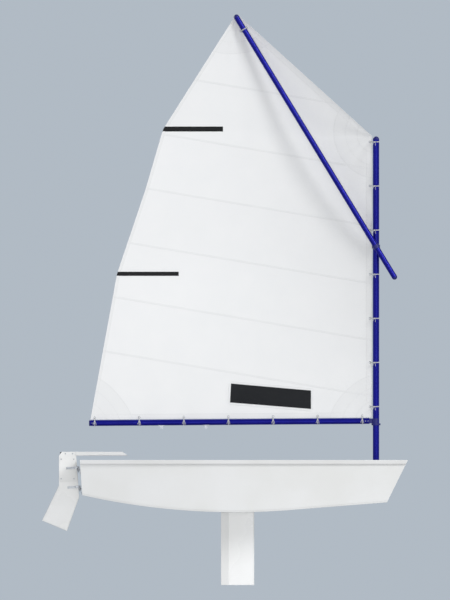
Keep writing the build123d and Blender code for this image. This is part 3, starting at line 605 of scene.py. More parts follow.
def stitchGrowth():
    # stitches at a spacing along lines, leaning to and fro as a zigzag
    growth = Growth("stitches", Stitch="Object", Spacing="Float", Lean="Float", Material="Material")
    spaced = growth.spaced(growth.named["Spacing"])
    tangent = growth.node("GeometryNodeInputTangent")
    lying = growth.node("FunctionNodeAlignRotationToVector", {"axis": "X"}, {"Vector": tangent})
    sockets = {"Rotation": lying, "Vector": growth.facing()}
    facing = growth.node("FunctionNodeAlignRotationToVector", {"axis": "Z", "pivot_axis": "X"}, sockets)
    odd = growth.maths("MODULO", growth.node("GeometryNodeInputIndex"), 2.0)
    lean = growth.maths("MULTIPLY_ADD", odd, 2.0, -1.0) * growth.named["Lean"]
    return growth.close(growth.setOut(spaced, "Stitch", facing, lean))


def ropeGrowth():
    # three-strand rope along lines: a lobed section swept with a steady twist
    growth = Growth("rope", Radius="Float", Lay="Float", Step="Float", Material="Material")
    spaced = growth.spaced(growth.named["Step"])
    along = growth.node("GeometryNodeSplineParameter", output="Length")
    sockets = {"Curve": spaced, "Tilt": along / growth.named["Lay"] * (2 * math.pi)}
    tilted = growth.node("GeometryNodeSetCurveTilt", None, sockets)
    circle = growth.node("GeometryNodeCurvePrimitiveCircle", None, {"Resolution": 12, "Radius": 1.0})
    lobe = growth.maths("COSINE", growth.node("GeometryNodeInputIndex") * (math.pi / 2))
    size = growth.maths("MULTIPLY_ADD", lobe, 0.14, 0.86) * growth.named["Radius"]
    sockets = {0: growth.node("GeometryNodeInputPosition"), "Scale": size}
    moved = growth.node("ShaderNodeVectorMath", {"operation": "SCALE"}, sockets)
    section = growth.node("GeometryNodeSetPosition", None, {0: circle, "Position": moved})
    sockets = {"Curve": tilted, "Profile Curve": section, "Fill Caps": True}
    return growth.close(growth.node("GeometryNodeCurveToMesh", None, sockets))


fasteners = fastenerGrowth()
stitches = stitchGrowth()
ropes = ropeGrowth()
print("node trees built")


def grommetShape():
    # rolled ring with a hole through it, one unit across its hole
    half = ((1.0, 0.32), (1.25, 0.5), (1.65, 0.42), (1.95, 0.16))
    rings = [(1.0, -0.32), *half] + [(radius, -height) for radius, height in reversed(half[1:])]
    sides = 20
    vertices = []
    for radius, height in rings:
        for turn in turnsRound(sides):
            vertices.append((radius * math.cos(turn), radius * math.sin(turn), height))
    faces = gridFaces(len(rings), sides, closed=True)
    last = (len(rings) - 1) * sides
    faces += [(last + i, last + (i + 1) % sides, (i + 1) % sides, i) for i in range(sides)]
    return vertices, faces


# small shapes that the trees repeat, removed before the end: profile, axis and sides
repeatedShapes = {
    "pan_head": (((0, 1.0), (0.25, 1.0), (0.42, 0.86), (0.5, 0.55), (0.5, 0.32), (0.28, 0.26)), up, 14),
    "rivet_head": (((0, 1.0), (0.12, 0.98), (0.35, 0.7), (0.45, 0.3)), up, 12),
    "stitch": (((-0.0026, 0.0002), (-0.0019, 0.00042), (0.0019, 0.00042), (0.0026, 0.0002)), (1, 0, 0), 5),
}
turned = {name: lathe(shape[0], (0, 0, 0), *shape[1:]) for name, shape in repeatedShapes.items()}
helpers = {}
for name, (vertices, faces) in {**turned, "grommet": grommetShape()}.items():
    helpers[name] = newObject(name, newMesh(name, vertices, [], faces))


def fasten(name, places, body, head="pan_head", size=0.004):
    # places are (point, facing)
    piece = linePiece(name, [[place] for place in places])
    fasteners.grow(piece, Head=helpers[head], Size=size, Seed=7, Material=paints["steel"])
    fixNormals(piece)
    belong(piece, "steel", body)


def stitch(name, lines, body="rig", paint="thread", slot="sailcloth", spacing=0.0066, lean=0.5):
    piece = linePiece(name, lines)
    stitches.grow(piece, Stitch=helpers["stitch"], Spacing=spacing, Lean=lean, Material=paints[paint])
    belong(piece, slot, body)


ropeTwist = {"lay": 11, "step": 1.1}  # in radii of the rope


def layRope(name, lines, radius, closed):
    piece = linePiece(name, [[(point, up) for point in line] for line in lines], closed)
    lay, step = (radius * ropeTwist[key] for key in ("lay", "step"))
    ropes.grow(piece, Radius=radius, Lay=lay, Step=step, Material=paints["rope"])
    fixNormals(piece)
    piece.data.shade_smooth()
    return belong(piece, "white_lashing", "rig")


# Sail: a curved surface from the luff to the leech; everything sewn on it follows sailPoint

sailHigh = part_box("sail")[1]
sailCut = {
    "luffX": sailHigh.x,
    "throatZ": 2.585,
    "peakX": -0.031,
    "peakZ": sailHigh.z,
    "peakCornerX": -0.045,  # between the ends of the leech and the head
    # z and x up the leech, and the belly's depth at each
    "leech": (
        (0.560, -1.082), (1.619, -0.8887), (2.207, -0.6904), (2.585, -0.5795), (2.635, -0.5643),
        (3.426, -0.062),
    ),
    "belly": (0.008, 0.140, 0.125, 0.100, 0.095, 0.001),
    "deepest": 0.46,  # share of the chord aft of the luff
    "tackZ": 0.6138,
    "clewX": -1.0749,
    "clewZ": 0.599,
    "thickness": 0.0012,
    "columns": 170,
    "rows": 244,
}
leechZ = [z for z, x in sailCut["leech"]]
leechX = [x for z, x in sailCut["leech"]]


def smoothAlong(at, knots, values):
    # smooth curve through a few values
    i = min(max(int(np.searchsorted(knots, at)) - 1, 0), len(knots) - 2)
    slopes = []
    for k in (i, i + 1):
        low, high = max(k - 1, 0), min(k + 1, len(knots) - 1)
        slopes.append((values[high] - values[low]) / (knots[high] - knots[low]))
    span = knots[i + 1] - knots[i]
    t = min(max((at - knots[i]) / span, 0), 1)
    start = values[i] * (1 + 2 * t) * (1 - t) ** 2 + slopes[0] * span * t * (1 - t) ** 2
    end = values[i + 1] * t * t * (3 - 2 * t) + slopes[1] * span * t * t * (t - 1)
    return start + end


def luffAt(z):
    share = max(0, (z - sailCut["throatZ"]) / (sailCut["peakZ"] - sailCut["throatZ"]))
    return sailCut["luffX"] + (sailCut["peakX"] - sailCut["luffX"]) * share


def leechAt(z):
    return float(np.interp(z, leechZ, leechX))


def footAt(x):
    share = (x - sailCut["clewX"]) / (sailCut["luffX"] - sailCut["clewX"])
    return sailCut["clewZ"] + (sailCut["tackZ"] - sailCut["clewZ"]) * share


ties = {"count": 7, "luff": (0.690, 2.545), "foot": (0.830, -1.045)}
luffTieZ, footTieX = (
    [first + (last - first) * i / (ties["count"] - 1) for i in range(ties["count"])]
    for first, last in (ties["luff"], ties["foot"])
)
folds = {
    "luff": {"within": 0.35, "height": 0.0032, "fade": 0.12, "pitch": 0.31},
    "foot": {"within": 0.3, "height": 0.0028, "fade": 0.1, "pitch": 0.3125},
    "fan": {"height": 0.0026, "fade": 0.45, "smooth": 0.16},
    # x and z of a fan's middle, and how many folds go round it
    "fans": ((sailCut["luffX"], sailCut["throatZ"], 11), (sailCut["peakCornerX"], 3.42, 15)),
}


def edgeFold(fold, away, at, tiePlaces):
    if away >= fold["within"]:
        return 0
    nearest = min(abs(at - tie) for tie in tiePlaces)
    return fold["height"] * math.exp(-away / fold["fade"]) * math.cos(nearest * 2 * math.pi / fold["pitch"])


def creases(x, z):
    # small folds that the lashings, the throat and the peak pull into the cloth
    pull = 0
    if z < sailCut["throatZ"]:
        pull += edgeFold(folds["luff"], luffAt(z) - x, z, luffTieZ)
    pull += edgeFold(folds["foot"], z - footAt(x), x, footTieX)
    fan = folds["fan"]
    for middleX, middleZ, count in folds["fans"]:
        away = math.hypot(x - middleX, z - middleZ)
        turn = math.atan2(z - middleZ, x - middleX)
        height = fan["height"] * math.exp(-away / fan["fade"])
        pull += height * math.sin(turn * count) * min(1, away / fan["smooth"])
    return pull


def sailY(x, z):
    front, back = luffAt(z), leechAt(z)
    t = min(max((front - x) / max(front - back, 0.01), 0), 1)
    s = t ** (math.log(0.5) / math.log(sailCut["deepest"]))
    return smoothAlong(z, leechZ, sailCut["belly"]) * 4 * s * (1 - s) + creases(x, z)


def sailPoint(x, z, lift=0):
    # point on the cloth, lifted off it towards port (+) or starboard (-)
    if not lift:
        return Vector((x, sailY(x, z), z))
    e = 0.004
    alongX = Vector((2 * e, sailY(x + e, z) - sailY(x - e, z), 0))
    alongZ = Vector((0, sailY(x, z + e) - sailY(x, z - e), 2 * e))
    return Vector((x, sailY(x, z), z)) + alongZ.cross(alongX).normalized() * lift


def alongLine(points, share):
    # point at a share of a polyline's length
    lengths = [(b - a).length for a, b in zip(points, points[1:])]
    left = share * sum(lengths)
    for a, b, length in zip(points, points[1:], lengths):
        if left <= length:
            return a.lerp(b, left / length)
        left -= length
    return points[-1]


def sailGrid():
    # patch between the four edges; v goes up them, u from the luff to the leech
    rows, columns = sailCut["rows"], sailCut["columns"]
    vertices, uvs = [], []
    for row in range(rows):
        v = row / (rows - 1)
        left, right = alongLine((tack, throat), v), alongLine(leechCorners, v)
        for column in range(columns):
            u = column / (columns - 1)
            low, high = alongLine((tack, clew), u), alongLine((throat, peakFore, leechCorners[-1]), u)
            flat = low * (1 - v) + high * v + left * (1 - u) + right * u
            flat -= (tack * (1 - u) + clew * u) * (1 - v) + (throat * (1 - u) + leechCorners[-1] * u) * v
            vertices.append(sailPoint(flat.x, flat.y))
            uvs.append((flat.x, flat.y))
    return vertices, gridFaces(rows, columns), uvs


tack = Vector((sailCut["luffX"], sailCut["tackZ"]))
clew = Vector((sailCut["clewX"], sailCut["clewZ"]))
throat = Vector((sailCut["luffX"], sailCut["throatZ"]))
peakFore = Vector((sailCut["peakX"], sailCut["peakZ"]))
leechCorners = [clew] + [Vector((x, z)) for z, x in sailCut["leech"][1:]]

sail = addPiece("sail_cloth", sailGrid(), "sail", "rig", "sailcloth", closed=False)
solid = sail.modifiers.new("thickness", "SOLIDIFY")
solid.thickness = sailCut["thickness"]
solid.offset = 0
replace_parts(sail, "sail")
print("sail cloth:", len(sail.data.polygons), "faces")


def insideEdges(x, z, lift=0):
    # keeps what is sewn on from passing the leech or the luff
    return min(max(x, leechAt(z)), luffAt(z)), z, lift


def outlineGrid(place, steps, across):
    # rows of (x, z, extra lift) from place(share along, share across)
    return [[place(i / steps, j / across) for j in range(across + 1)] for i in range(steps + 1)]


sewn = []


def sewOn(name, outline, lift, paint="tape", slot="sailcloth"):
    # one closed shell that wraps the cloth's two sides within an outline grid
    rows, columns = len(outline), len(outline[0])
    half = rows * columns
    vertices, uvs = [], []
    for side in (1, -1):
        for row in outline:
            for x, z, extra in row:
                vertices.append(sailPoint(x, z, side * (sailCut["thickness"] / 2 + lift + extra)))
                uvs.append((x, z))
    faces = gridFaces(rows, columns)
    faces += [tuple(reversed(face)) for face in gridFaces(rows, columns, half)]
    rim = list(range(columns))
    rim += [r * columns + columns - 1 for r in range(1, rows)]
    rim += [(rows - 1) * columns + c for c in range(columns - 2, -1, -1)]
    rim += [r * columns for r in range(rows - 2, 0, -1)]
    faces += [(b, a, a + half, b + half) for a, b in zip(rim, rim[1:] + rim[:1])]
    sewn.append(addPiece(name, (vertices, faces, uvs), paint, "rig", slot))
    return sewn[-1]


def leftOf(start, end):
    # unit direction to the left of a line
    return Vector((start.y - end.y, end.x - start.x)).normalized()


def inset(start, end, distance):
    # the same line moved to its left
    start, end = Vector(start), Vector(end)
    side = leftOf(start, end) * distance
    return start + side, end + side


sewnSpacing = 0.012  # as fine as the cloth's own grid, so that layers don't sink into it


def sewBand(name, start, end, width, lift=0.0003, raised=0.0003):
    # a strip along a line, a little raised towards its middle
    start, end = Vector(start), Vector(end)
    side = leftOf(start, end)

    def place(along, across):
        point = start.lerp(end, along) + side * ((across - 0.5) * width)
        return insideEdges(point.x, point.y, raised * math.sin(math.pi * across))

    steps = max(4, int((end - start).length / sewnSpacing))
    sewOn(name, outlineGrid(place, steps, 4), lift)


edgeTape = {"luff": 0.042, "foot": 0.038, "head": 0.040, "leech": 0.022}
edgeLines = [
    ("luff_tape", edgeTape["luff"], tack, throat),
    ("foot_tape", edgeTape["foot"], clew, tack),
    ("head_tape", edgeTape["head"], throat, peakFore),
]
for number, (low, high) in enumerate(zip(leechCorners, leechCorners[1:]), 1):
    edgeLines.append((f"leech_tape_{number}", edgeTape["leech"], high, low))
for name, width, start, end in edgeLines:
    sewBand(name, *inset(start, end, width / 2), width)

panels = {
    "leechHeights": (1.08, 1.46, 1.84, 2.22, 2.60, 2.98),
    "slope": math.tan(math.radians(9.5)),  # seams run square to the leech
    "step": 0.002,
    "width": 0.014,
}


def seamLine(z):
    # from the leech forward and down to the luff or the head
    x = leechAt(z)
    start = (x, z)
    while x < luffAt(z) - panels["step"]:
        x += panels["step"]
        z -= panels["step"] * panels["slope"]
    return start, (x, z)


seams = [seamLine(z) for z in panels["leechHeights"]]
for number, (start, end) in enumerate(seams, 1):
    sewBand(f"panel_seam_{number}", start, end, panels["width"], 0.0002, 0.0004)
print("sail bands:", len(sewn))


# Corner patches, three layers each, radial from the corner

cornerPatch = {
    "layers": ((0.30, 0.0004), (0.21, 0.0007), (0.12, 0.0010)),  # radius and lift
    "roundedIn": 0.12,
    "hole": 0.002,
}
peak = Vector((sailCut["peakCornerX"], sailCut["peakZ"]))
# corner, then a point towards each side of it
corners = {
    "tack": (tack, throat, clew),
    "clew": (clew, tack, leechCorners[1]),
    "throat": (throat, peakFore, tack),
    "peak": (peak, Vector((-0.562, sailCut["peakZ"] - 0.79)), peakFore + Vector((0.5, -0.4529))),
}


def cornerOutline(corner, toward, away, radius):
    first, last = toward - corner, away - corner
    startTurn, endTurn = math.atan2(first.y, first.x), math.atan2(last.y, last.x)
    if endTurn < startTurn:
        endTurn += 2 * math.pi

    def place(share, outward):
        turn = startTurn + (endTurn - startTurn) * share
        reach = radius * (1 - cornerPatch["roundedIn"] * math.sin(math.pi * share))
        direction = Vector((math.cos(turn), math.sin(turn)))
        point = corner + direction * (cornerPatch["hole"] + (reach - cornerPatch["hole"]) * outward)
        return insideEdges(point.x, point.y)

    steps = math.ceil(radius * (endTurn - startTurn) / sewnSpacing)
    return outlineGrid(place, steps, math.ceil(radius / sewnSpacing))


for name, sides in corners.items():
    for layer, (radius, lift) in enumerate(cornerPatch["layers"], 1):
        sewOn(f"{name}_patch_{layer}", cornerOutline(*sides, radius), lift)
print("corner patches:", len(corners) * len(cornerPatch["layers"]))


# Window and batten pockets

window = {
    "corners": [(-0.09, 0.8517), (0.4704, 0.8026), (0.4704, 0.673), (-0.097, 0.7186)],
    "border": 0.016,
    "borderLift": 0.0014,
}
windowEdges = list(zip(window["corners"], window["corners"][1:] + window["corners"][:1]))


def windowPlace(down, along):
    aftTop, foreTop, foreLow, aftLow = (Vector(corner) for corner in window["corners"])
    return *aftTop.lerp(foreTop, along).lerp(aftLow.lerp(foreLow, along), down), 0


film = sewOn("window_film", outlineGrid(windowPlace, 8, 30), 0.0008, "film", "dark_window")
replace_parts(film, "sail_window")
for number, (start, end) in enumerate(windowEdges, 1):
    line = inset(start, end, window["border"] / 2)
    sewBand(f"window_border_{number}", *line, window["border"], window["borderLift"])

battenPockets = {
    "upper": {"foreX": -0.146, "z": 2.635, "width": 0.035},
    "lower": {"foreX": -0.4565, "z": 1.6205, "width": 0.029},
}
pocketBody = {"height": 0.0032, "sides": 0.16, "ends": 0.03}  # slopes as shares of its width and length


def pocketOutline(pocket):
    def place(share, across):
        off = across - 0.5
        z = pocket["z"] + off * pocket["width"]
        x = leechAt(z) * (1 - share) + pocket["foreX"] * share
        nearEnd = min(1, share / pocketBody["ends"], (1 - share) / pocketBody["ends"])
        flat = min(1, (0.5 - abs(off)) / pocketBody["sides"]) * nearEnd
        return x, z, pocketBody["height"] * math.sin(flat * math.pi / 2)

    return outlineGrid(place, 24, 10)


for name, pocket in battenPockets.items():
    sleeve = sewOn(f"batten_pocket_{name}", pocketOutline(pocket), 0.0005, "pocket", "dark_batten")
    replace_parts(sleeve, f"batten_{name}")
print("window and pockets sewn on")


# Lashings: rope round the spars through eyelets in the sail's edges

lashing = {
    "radius": 0.0017,
    "turns": 2,
    "pitch": 2.1,  # of the turns, in radii of the rope
    "clear": 0.0003,  # between the rope and the spar
    "eyeletIn": 0.014,
    "eyeletSize": 0.0046,
    "knot": 0.0042,
    "peakLean": 0.0385,
}
boom = {"z": 0.590, "slope": math.tan(math.radians(0.43))}  # z at the mast
# the way from the spar's middle to the sail, and how each tie is set on its spar
lashed = {
    "luff": {"toSail": (-1, 0, 0), "slope": 0, "radius": 0.0225, "gap": 0.006, "knotUp": 0.012, "tail": 0.3},
    "foot": {"toSail": (0, 0, 1), "radius": 0.021, "gap": 0.003, "knotUp": 0.010, "tail": 0.5},
}
lashed["foot"]["slope"] = boom["slope"]
mastX = (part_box("mast_tube")[0].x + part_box("mast_tube")[1].x) / 2
eyelets = []


def boomAt(x):
    return Vector((x, 0, boom["z"] - (mastX - x) * boom["slope"]))


def tearDrop(radius, reach, points=44):
    # flat loop round the origin that draws in to a point at (-reach, 0)
    lean = math.acos(radius / reach)
    around = 2 * math.pi - 2 * lean
    turns = [math.pi - lean - around * i / (points - 1) for i in range(points)]
    loop = [(radius * math.cos(turn), radius * math.sin(turn)) for turn in turns]
    first, last = loop[0], loop[-1]
    for end, shares in ((last, (0.33, 0.66, 0.9)), (first, (0.9, 0.66, 0.33))):
        loop += [(end[0] * (1 - share) - reach * share, end[1] * (1 - share)) for share in shares]
    return loop


def knotLine(centre):
    # a small three-lobed knot on the starboard side of a spar
    line = []
    for t in turnsRound(36):
        forward = (math.sin(t) + 2 * math.sin(2 * t)) / 3
        rise = (math.cos(t) - 2 * math.cos(2 * t)) / 3
        out = 0.35 * math.sin(3 * t)
        line.append(centre + Vector((forward, out, rise)) * lashing["knot"])
    return line


def tailLine(start, out, droop, length):
    out, droop = Vector(out) * length * 0.4, Vector(droop) * length
    return [start + out * math.sin(s * 1.5) + droop * s * s for s in (0, 0.15, 0.3, 0.45, 0.6, 0.8, 1.0)]


def tieAlong(edge, centres):
    # at each place two turns round the spar and through the cloth, a knot and its two tails, and an eyelet
    settings = lashed[edge]
    toSail = Vector(settings["toSail"])
    axis = toPort.cross(toSail)
    way = axis + up * settings["slope"]
    reach = settings["radius"] + settings["gap"] + lashing["eyeletIn"]
    drop = tearDrop(settings["radius"] + lashing["radius"] + lashing["clear"], reach)
    loops, tails = [], []
    for centre in centres:
        eye = centre + toSail * reach
        cloth = sailPoint(eye.x, eye.z)
        inward = (centre - cloth).normalized()
        beside = axis.cross(inward)
        for number in range(lashing["turns"]):
            middle = centre + way * ((number - 0.5) * lashing["radius"] * lashing["pitch"])
            loops.append([middle + inward * a + beside * b for a, b in drop])
        knot = centre + toSail * settings["knotUp"] + Vector((0, -settings["radius"] - 0.001, 0))
        loops.append(knotLine(knot))
        aft, fore = (knot + Vector((side, -0.003, -0.002)) for side in (-0.003, 0.003))
        tails.append(tailLine(fore, (settings["tail"], -0.5, 0), (0.1, 0, -1), 0.024))
        tails.append(tailLine(aft, (-0.5, -0.5, 0), (-0.2, 0, -1), 0.02))
        eyelets.append((cloth, sailPoint(eye.x, eye.z, 0.001) - cloth))
    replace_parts(layRope(edge + "_lashings", loops, lashing["radius"], True), edge + "_ties")
    layRope(edge + "_lashing_tails", tails, lashing["radius"] * 0.9, False)


tieAlong("luff", [Vector((mastX, 0, z)) for z in luffTieZ])
tieAlong("foot", [boomAt(x) for x in footTieX])


def tiePeak():
    # two turns round the sprit's upper end
    low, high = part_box("peak_tie")
    spritLow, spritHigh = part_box("sprit_tube")
    along = Vector((spritLow.x - spritHigh.x, lashing["peakLean"], spritHigh.z - spritLow.z)).normalized()
    centre, radius = (low + high) / 2, (high.y - low.y) / 2 - 0.002
    across = toPort.cross(along).normalized()
    away = along.cross(across)
    loops = []
    for number in range(lashing["turns"]):
        middle = centre + along * (number - 0.5) * lashing["radius"] * lashing["pitch"]
        loops.append([middle + (across * math.cos(t) + away * math.sin(t)) * radius for t in turnsRound(40)])
    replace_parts(layRope("peak_lashing", loops, lashing["radius"], True), "peak_tie")
    for side in (-1, 1):
        hole = centre + across * side * math.sqrt(radius ** 2 - centre.y ** 2)
        eyelets.append((sailPoint(hole.x, hole.z), toPort))


tiePeak()
fasten("sail_eyelets", eyelets, "rig", "grommet", lashing["eyeletSize"])
print("lashings tied")


# Stitching

threads = {
    "seams": {"off": 0.0045, "lift": 0.0014, "spacing": 0.0074},
    "edges": {"in": 0.004, "lift": 0.0013, "lean": 0.35},
    "straight": {"lift": 0.0026, "spacing": 0.0072, "lean": 0.0},
    "pockets": {"in": 0.003, "over": 0.004},
    "patches": {"in": 0.006, "lift": 0.0012},
}


def alongSail(start, end, off, lift, steps=90):
    start, end = inset(start, end, off)
    line = []
    for i in range(steps + 1):
        x, z = insideEdges(*start.lerp(end, i / steps))[:2]
        point = sailPoint(x, z, lift)
        line.append((point, sailPoint(x, z, lift * 2) - point))
    return line


def bothFaces(lines, lift):
    # lines are (start, end, how far to the left)
    return [alongSail(*line, side * lift) for line in lines for side in (1, -1)]


sewing = threads["seams"]
seamRows = [(start, end, off) for start, end in seams for off in (-sewing["off"], sewing["off"])]
stitch("seam_stitches", bothFaces(seamRows, sewing["lift"]), spacing=sewing["spacing"])
sewing = threads["edges"]
edgeRows = [(start, end, width - sewing["in"]) for name, width, start, end in edgeLines]
stitch("edge_stitches", bothFaces(edgeRows, sewing["lift"]), lean=sewing["lean"])
sewing = threads["straight"]
straight = {"spacing": sewing["spacing"], "lean": sewing["lean"]}
windowRows = [(start, end, window["border"] * share) for start, end in windowEdges for share in (0.2, 0.8)]
stitch("window_stitches", bothFaces(windowRows, sewing["lift"]), **straight)
pocketRows = []
for pocket in battenPockets.values():
    for side in (-1, 1):
        z = pocket["z"] + side * (pocket["width"] / 2 - threads["pockets"]["in"])
        over = threads["pockets"]["over"]
        pocketRows.append(((leechAt(z) + over, z), (pocket["foreX"] - over, z), 0))
pocketLines = bothFaces(pocketRows, sewing["lift"])
stitch("pocket_stitches", pocketLines, paint="darkThread", slot="dark_batten", **straight)
patchLines = []
for sides in corners.values():
    for radius, lift in cornerPatch["layers"]:
        rim = [row[-1][:2] for row in cornerOutline(*sides, radius - threads["patches"]["in"])]
        for side in (1, -1):
            height = side * (lift + threads["patches"]["lift"])
            outward = [sailPoint(*at, side * 0.01) - sailPoint(*at) for at in rim]
            patchLines.append([(sailPoint(*at, height), facing) for at, facing in zip(rim, outward)])
stitch("patch_stitches", patchLines)
print("sail stitched")


# Air bags: coated cloth blown up against its straps, with welded ring seams and a valve each

bagShape = {
    "voxel": 0.010,
    "start": 0.007,  # the sim starts this far inside the CAD bag
    "reach": 0.0066,
    "frames": 20,
    "pinned": 0.62,  # to each side of a strap's middle, as a share of its width
    "outside": 0.3,  # from the middle to where a ray starts
}
bagStrap = {"width": 0.025, "thickness": 0.0019, "fromEnd": 0.130, "lift": 0.0010, "spacing": 0.004}
bagSeam = {"width": 0.012, "thickness": 0.0016, "fromEnd": 0.058, "lift": 0.0006}
bagCloth = {
    "quality": 6,
    "mass": 0.2,
    "tension_stiffness": 12,
    "compression_stiffness": 12,
    "bending_stiffness": 0.4,
    "use_pressure": True,
    "uniform_pressure_force": 4.0,
    "vertex_group_mass": "strapped",
}
# which way each lies, its length, and how far along and to which side its valve is
sideBag = {"along": (math.cos(math.radians(5.4)), math.sin(math.radians(5.4))), "length": 0.8, "valve": 0.30}
bags = {
    "port": {**sideBag, "lean": (0, -0.55, 1)},
    "starboard": {**sideBag, "along": (sideBag["along"][0], -sideBag["along"][1]), "lean": (0, 0.55, 1)},
    "bow": {"along": (0, 1), "length": 0.74, "valve": 0.19, "lean": (-0.7, 0, 1)},
}
valveProfile = (
    (-0.003, 0.017), (0.0008, 0.017), (0.0014, 0.0155), (0.0014, 0.010), (0.006, 0.0095), (0.0072, 0.0085),
    (0.0072, 0.004), (0.0062, 0.003),
)


def bagFrame(name):
    low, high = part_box("air_bag_" + name)
    outer = bags[name]["length"] / 2 - bagStrap["fromEnd"]
    return (low + high) / 2, Vector((*bags[name]["along"], 0)), (-outer, 0, outer)


def inflateBag(name):
    centre, along, stations = bagFrame(name)
    shape = bmesh.new()
    shape.from_mesh(nodes["air_bag_" + name].data)
    bmesh.ops.remove_doubles(shape, verts=shape.verts, dist=1e-6)
    mesh = bpy.data.meshes.new("bag_" + name)
    shape.to_mesh(mesh)
    shape.free()
    bag = newObject("inflated_bag_" + name, mesh)
    voxels = bag.modifiers.new("voxels", "REMESH")
    voxels.mode = "VOXEL"
    voxels.voxel_size = bagShape["voxel"]
    bag.modifiers.new("smoothing", "SMOOTH").iterations = 3
    mesh = applyModifiers(bag)
    start = np.array([v.co - v.normal * bagShape["start"] for v in mesh.vertices])
    mesh.vertices.foreach_set("co", start.ravel())
    mesh.update()
    pins = bag.vertex_groups.new(name="strapped")
    for vertex in mesh.vertices:
        place = (vertex.co - centre).dot(along)
        if min(abs(place - station) for station in stations) < bagStrap["width"] * bagShape["pinned"]:
            pins.add([vertex.index], 1.0, "REPLACE")
    cloth = bag.modifiers.new("cloth", "CLOTH")
    for key, value in bagCloth.items():
        setattr(cloth.settings, key, value)
    cloth.settings.effector_weights.gravity = 0
    cloth.point_cache.frame_start = 1
    cloth.point_cache.frame_end = bagShape["frames"]
    for number in range(1, bagShape["frames"] + 1):
        scene.frame_set(number)
    mesh = applyModifiers(bag)
    moved = np.empty(len(mesh.vertices) * 3)
    mesh.vertices.foreach_get("co", moved)
    moved = moved.reshape(-1, 3) - start
    size = np.linalg.norm(moved, axis=1, keepdims=True)
    moved *= np.minimum(1, bagShape["reach"] / np.maximum(size, 1e-9))
    mesh.vertices.foreach_set("co", (start + moved).ravel())
    mesh.update()
    scene.frame_set(1)
    fine = bag.modifiers.new("fine", "SUBSURF")
    fine.levels = fine.render_levels = 1
    mesh = applyModifiers(bag)
    mesh.shade_smooth()
    mesh.materials.clear()
    mesh.materials.append(paints["bag"])
    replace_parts(bag, "air_bag_" + name)
    return belong(bag, "white_bag", "hull")


def ringSeams(name, bag):
    # welded seams near both ends
    centre, along = bagFrame(name)[:2]
    tree = rayTree(bag)
    across = along.cross(up)
    shapes = []
    for end in (-1, 1):
        middle = centre + along * end * (bags[name]["length"] / 2 - bagSeam["fromEnd"])
        path = []
        for turn in turnsRound(72):
            way = across * math.cos(turn) + up * math.sin(turn)
            hit = tree.ray_cast(middle + way * bagShape["outside"], -way)[0]
            path.append(hit + way * bagSeam["lift"])
        shapes.append(ribbon(path + path[:1], along, bagSeam["width"], bagSeam["thickness"]))
    addPiece("bag_seams_" + name, joinShapes(shapes)[:2], "bag", "hull", "white_bag")


def valve(name, bag):
    centre, along = bagFrame(name)[:2]
    way = Vector(bags[name]["lean"]).normalized()
    outside = centre + along * bags[name]["valve"] + way * bagShape["outside"]
    hit, normal = rayTree(bag).ray_cast(outside, -way)[:2]
    addPiece("bag_valve_" + name, lathe(valveProfile, hit, normal, 28), "fitting", "hull", "navy_fitting")


def strapPath(tree, middle, along):
    # follows the CAD strap round the bag, as far as it goes each way
    across = along.cross(up)
    hits = []
    for turn in turnsRound(180):
        way = across * math.cos(turn) + up * math.sin(turn)
        hit = tree.ray_cast(middle, way)[0]
        hits.append(hit + way * bagStrap["lift"] if hit else None)
    steps = len(hits)
    starts = [i for i in range(steps) if hits[i] and not hits[i - 1]]
    runs = []
    for start in starts or [0]:
        run = []
        while hits[(start + len(run)) % steps] and len(run) < steps:
            run.append(hits[(start + len(run)) % steps])
        runs.append(run)
    return max(runs, key=len)


def smoothPath(path, rounds):
    for unused in range(rounds):
        path = [path[0]] + [(a + b * 2 + c) / 4 for a, b, c in zip(path, path[1:], path[2:])] + [path[-1]]
    return path


def spacedPath(path, least):
    # drops points that crowd the one before
    kept = [path[0]]
    for point in path[1:]:
        if (point - kept[-1]).length >= least:
            kept.append(point)
    return kept


skinTrees = [rayTree(nodes[name]) for name in ("hull_bottom", "hull_side_port", "hull_side_starboard")]
# a plate is its length, width and thickness; a bar its width and height
anchor = {
    "plate": (0.046, 0.013, 0.0016),
    "screws": 0.0175,  # from the plate's middle
    "plateLift": 0.0022,
    "strapLift": 0.0014,
    "strapOut": (0.003, 0.008, 0.016, 0.026),
    "plateOut": 0.018,
    "room": 0.045,
}
ladder = {
    "lift": 0.003,
    "reach": 0.016,
    "railsOut": 0.0155,
    "rail": (0.005, 0.006),
    "rungs": (-0.014, 0, 0.014),
    "rung": (0.0045, 0.005),
}
plateShapes, plateScrews, buckleShapes = [], [], []


def screwedPlate(foot, facing, along, size, screws):
    plateShapes.append(plate(foot, facing, along, *size))
    for side in (-1, 1):
        plateScrews.append((foot + facing * size[2] + along * side * screws, facing))


def anchorEnd(end, centre, along):
    # turns a strap's end onto the hull's skin under a small steel plate with two screws
    place, normal = min((tree.find_nearest(end) for tree in skinTrees), key=lambda hit: hit[3])[:2]
    away = end - centre
    away -= normal * away.dot(normal) + along * away.dot(along)
    away.normalize()
    for tree in skinTrees:
        if tree.ray_cast(place + normal * 0.006, away, anchor["room"])[0]:
            return []  # no room between the bag and the skin
    foot = place + away * anchor["plateOut"] + normal * anchor["plateLift"]
    screwedPlate(foot, normal, along, anchor["plate"], anchor["screws"])
    return [place + away * out + normal * anchor["strapLift"] for out in anchor["strapOut"]]


def buckle(path, along):
    # plastic ladder buckle on the top of a strap
    top = max(range(2, len(path) - 2), key=lambda i: path[i].z)
    run = (path[top + 2] - path[top - 2]).normalized()
    out = run.cross(along)
    if out.z < 0:
        out = -out
    middle = path[top] + out * ladder["lift"]
    bars = [(middle + along * side * ladder["railsOut"], run, ladder["rail"]) for side in (-1, 1)]
    bars += [(middle + run * place, along, ladder["rung"]) for place in ladder["rungs"]]
    for centre, way, size in bars:
        reach = way * ladder["reach"]
        buckleShapes.append(bar(centre - reach, centre + reach, *size, out))


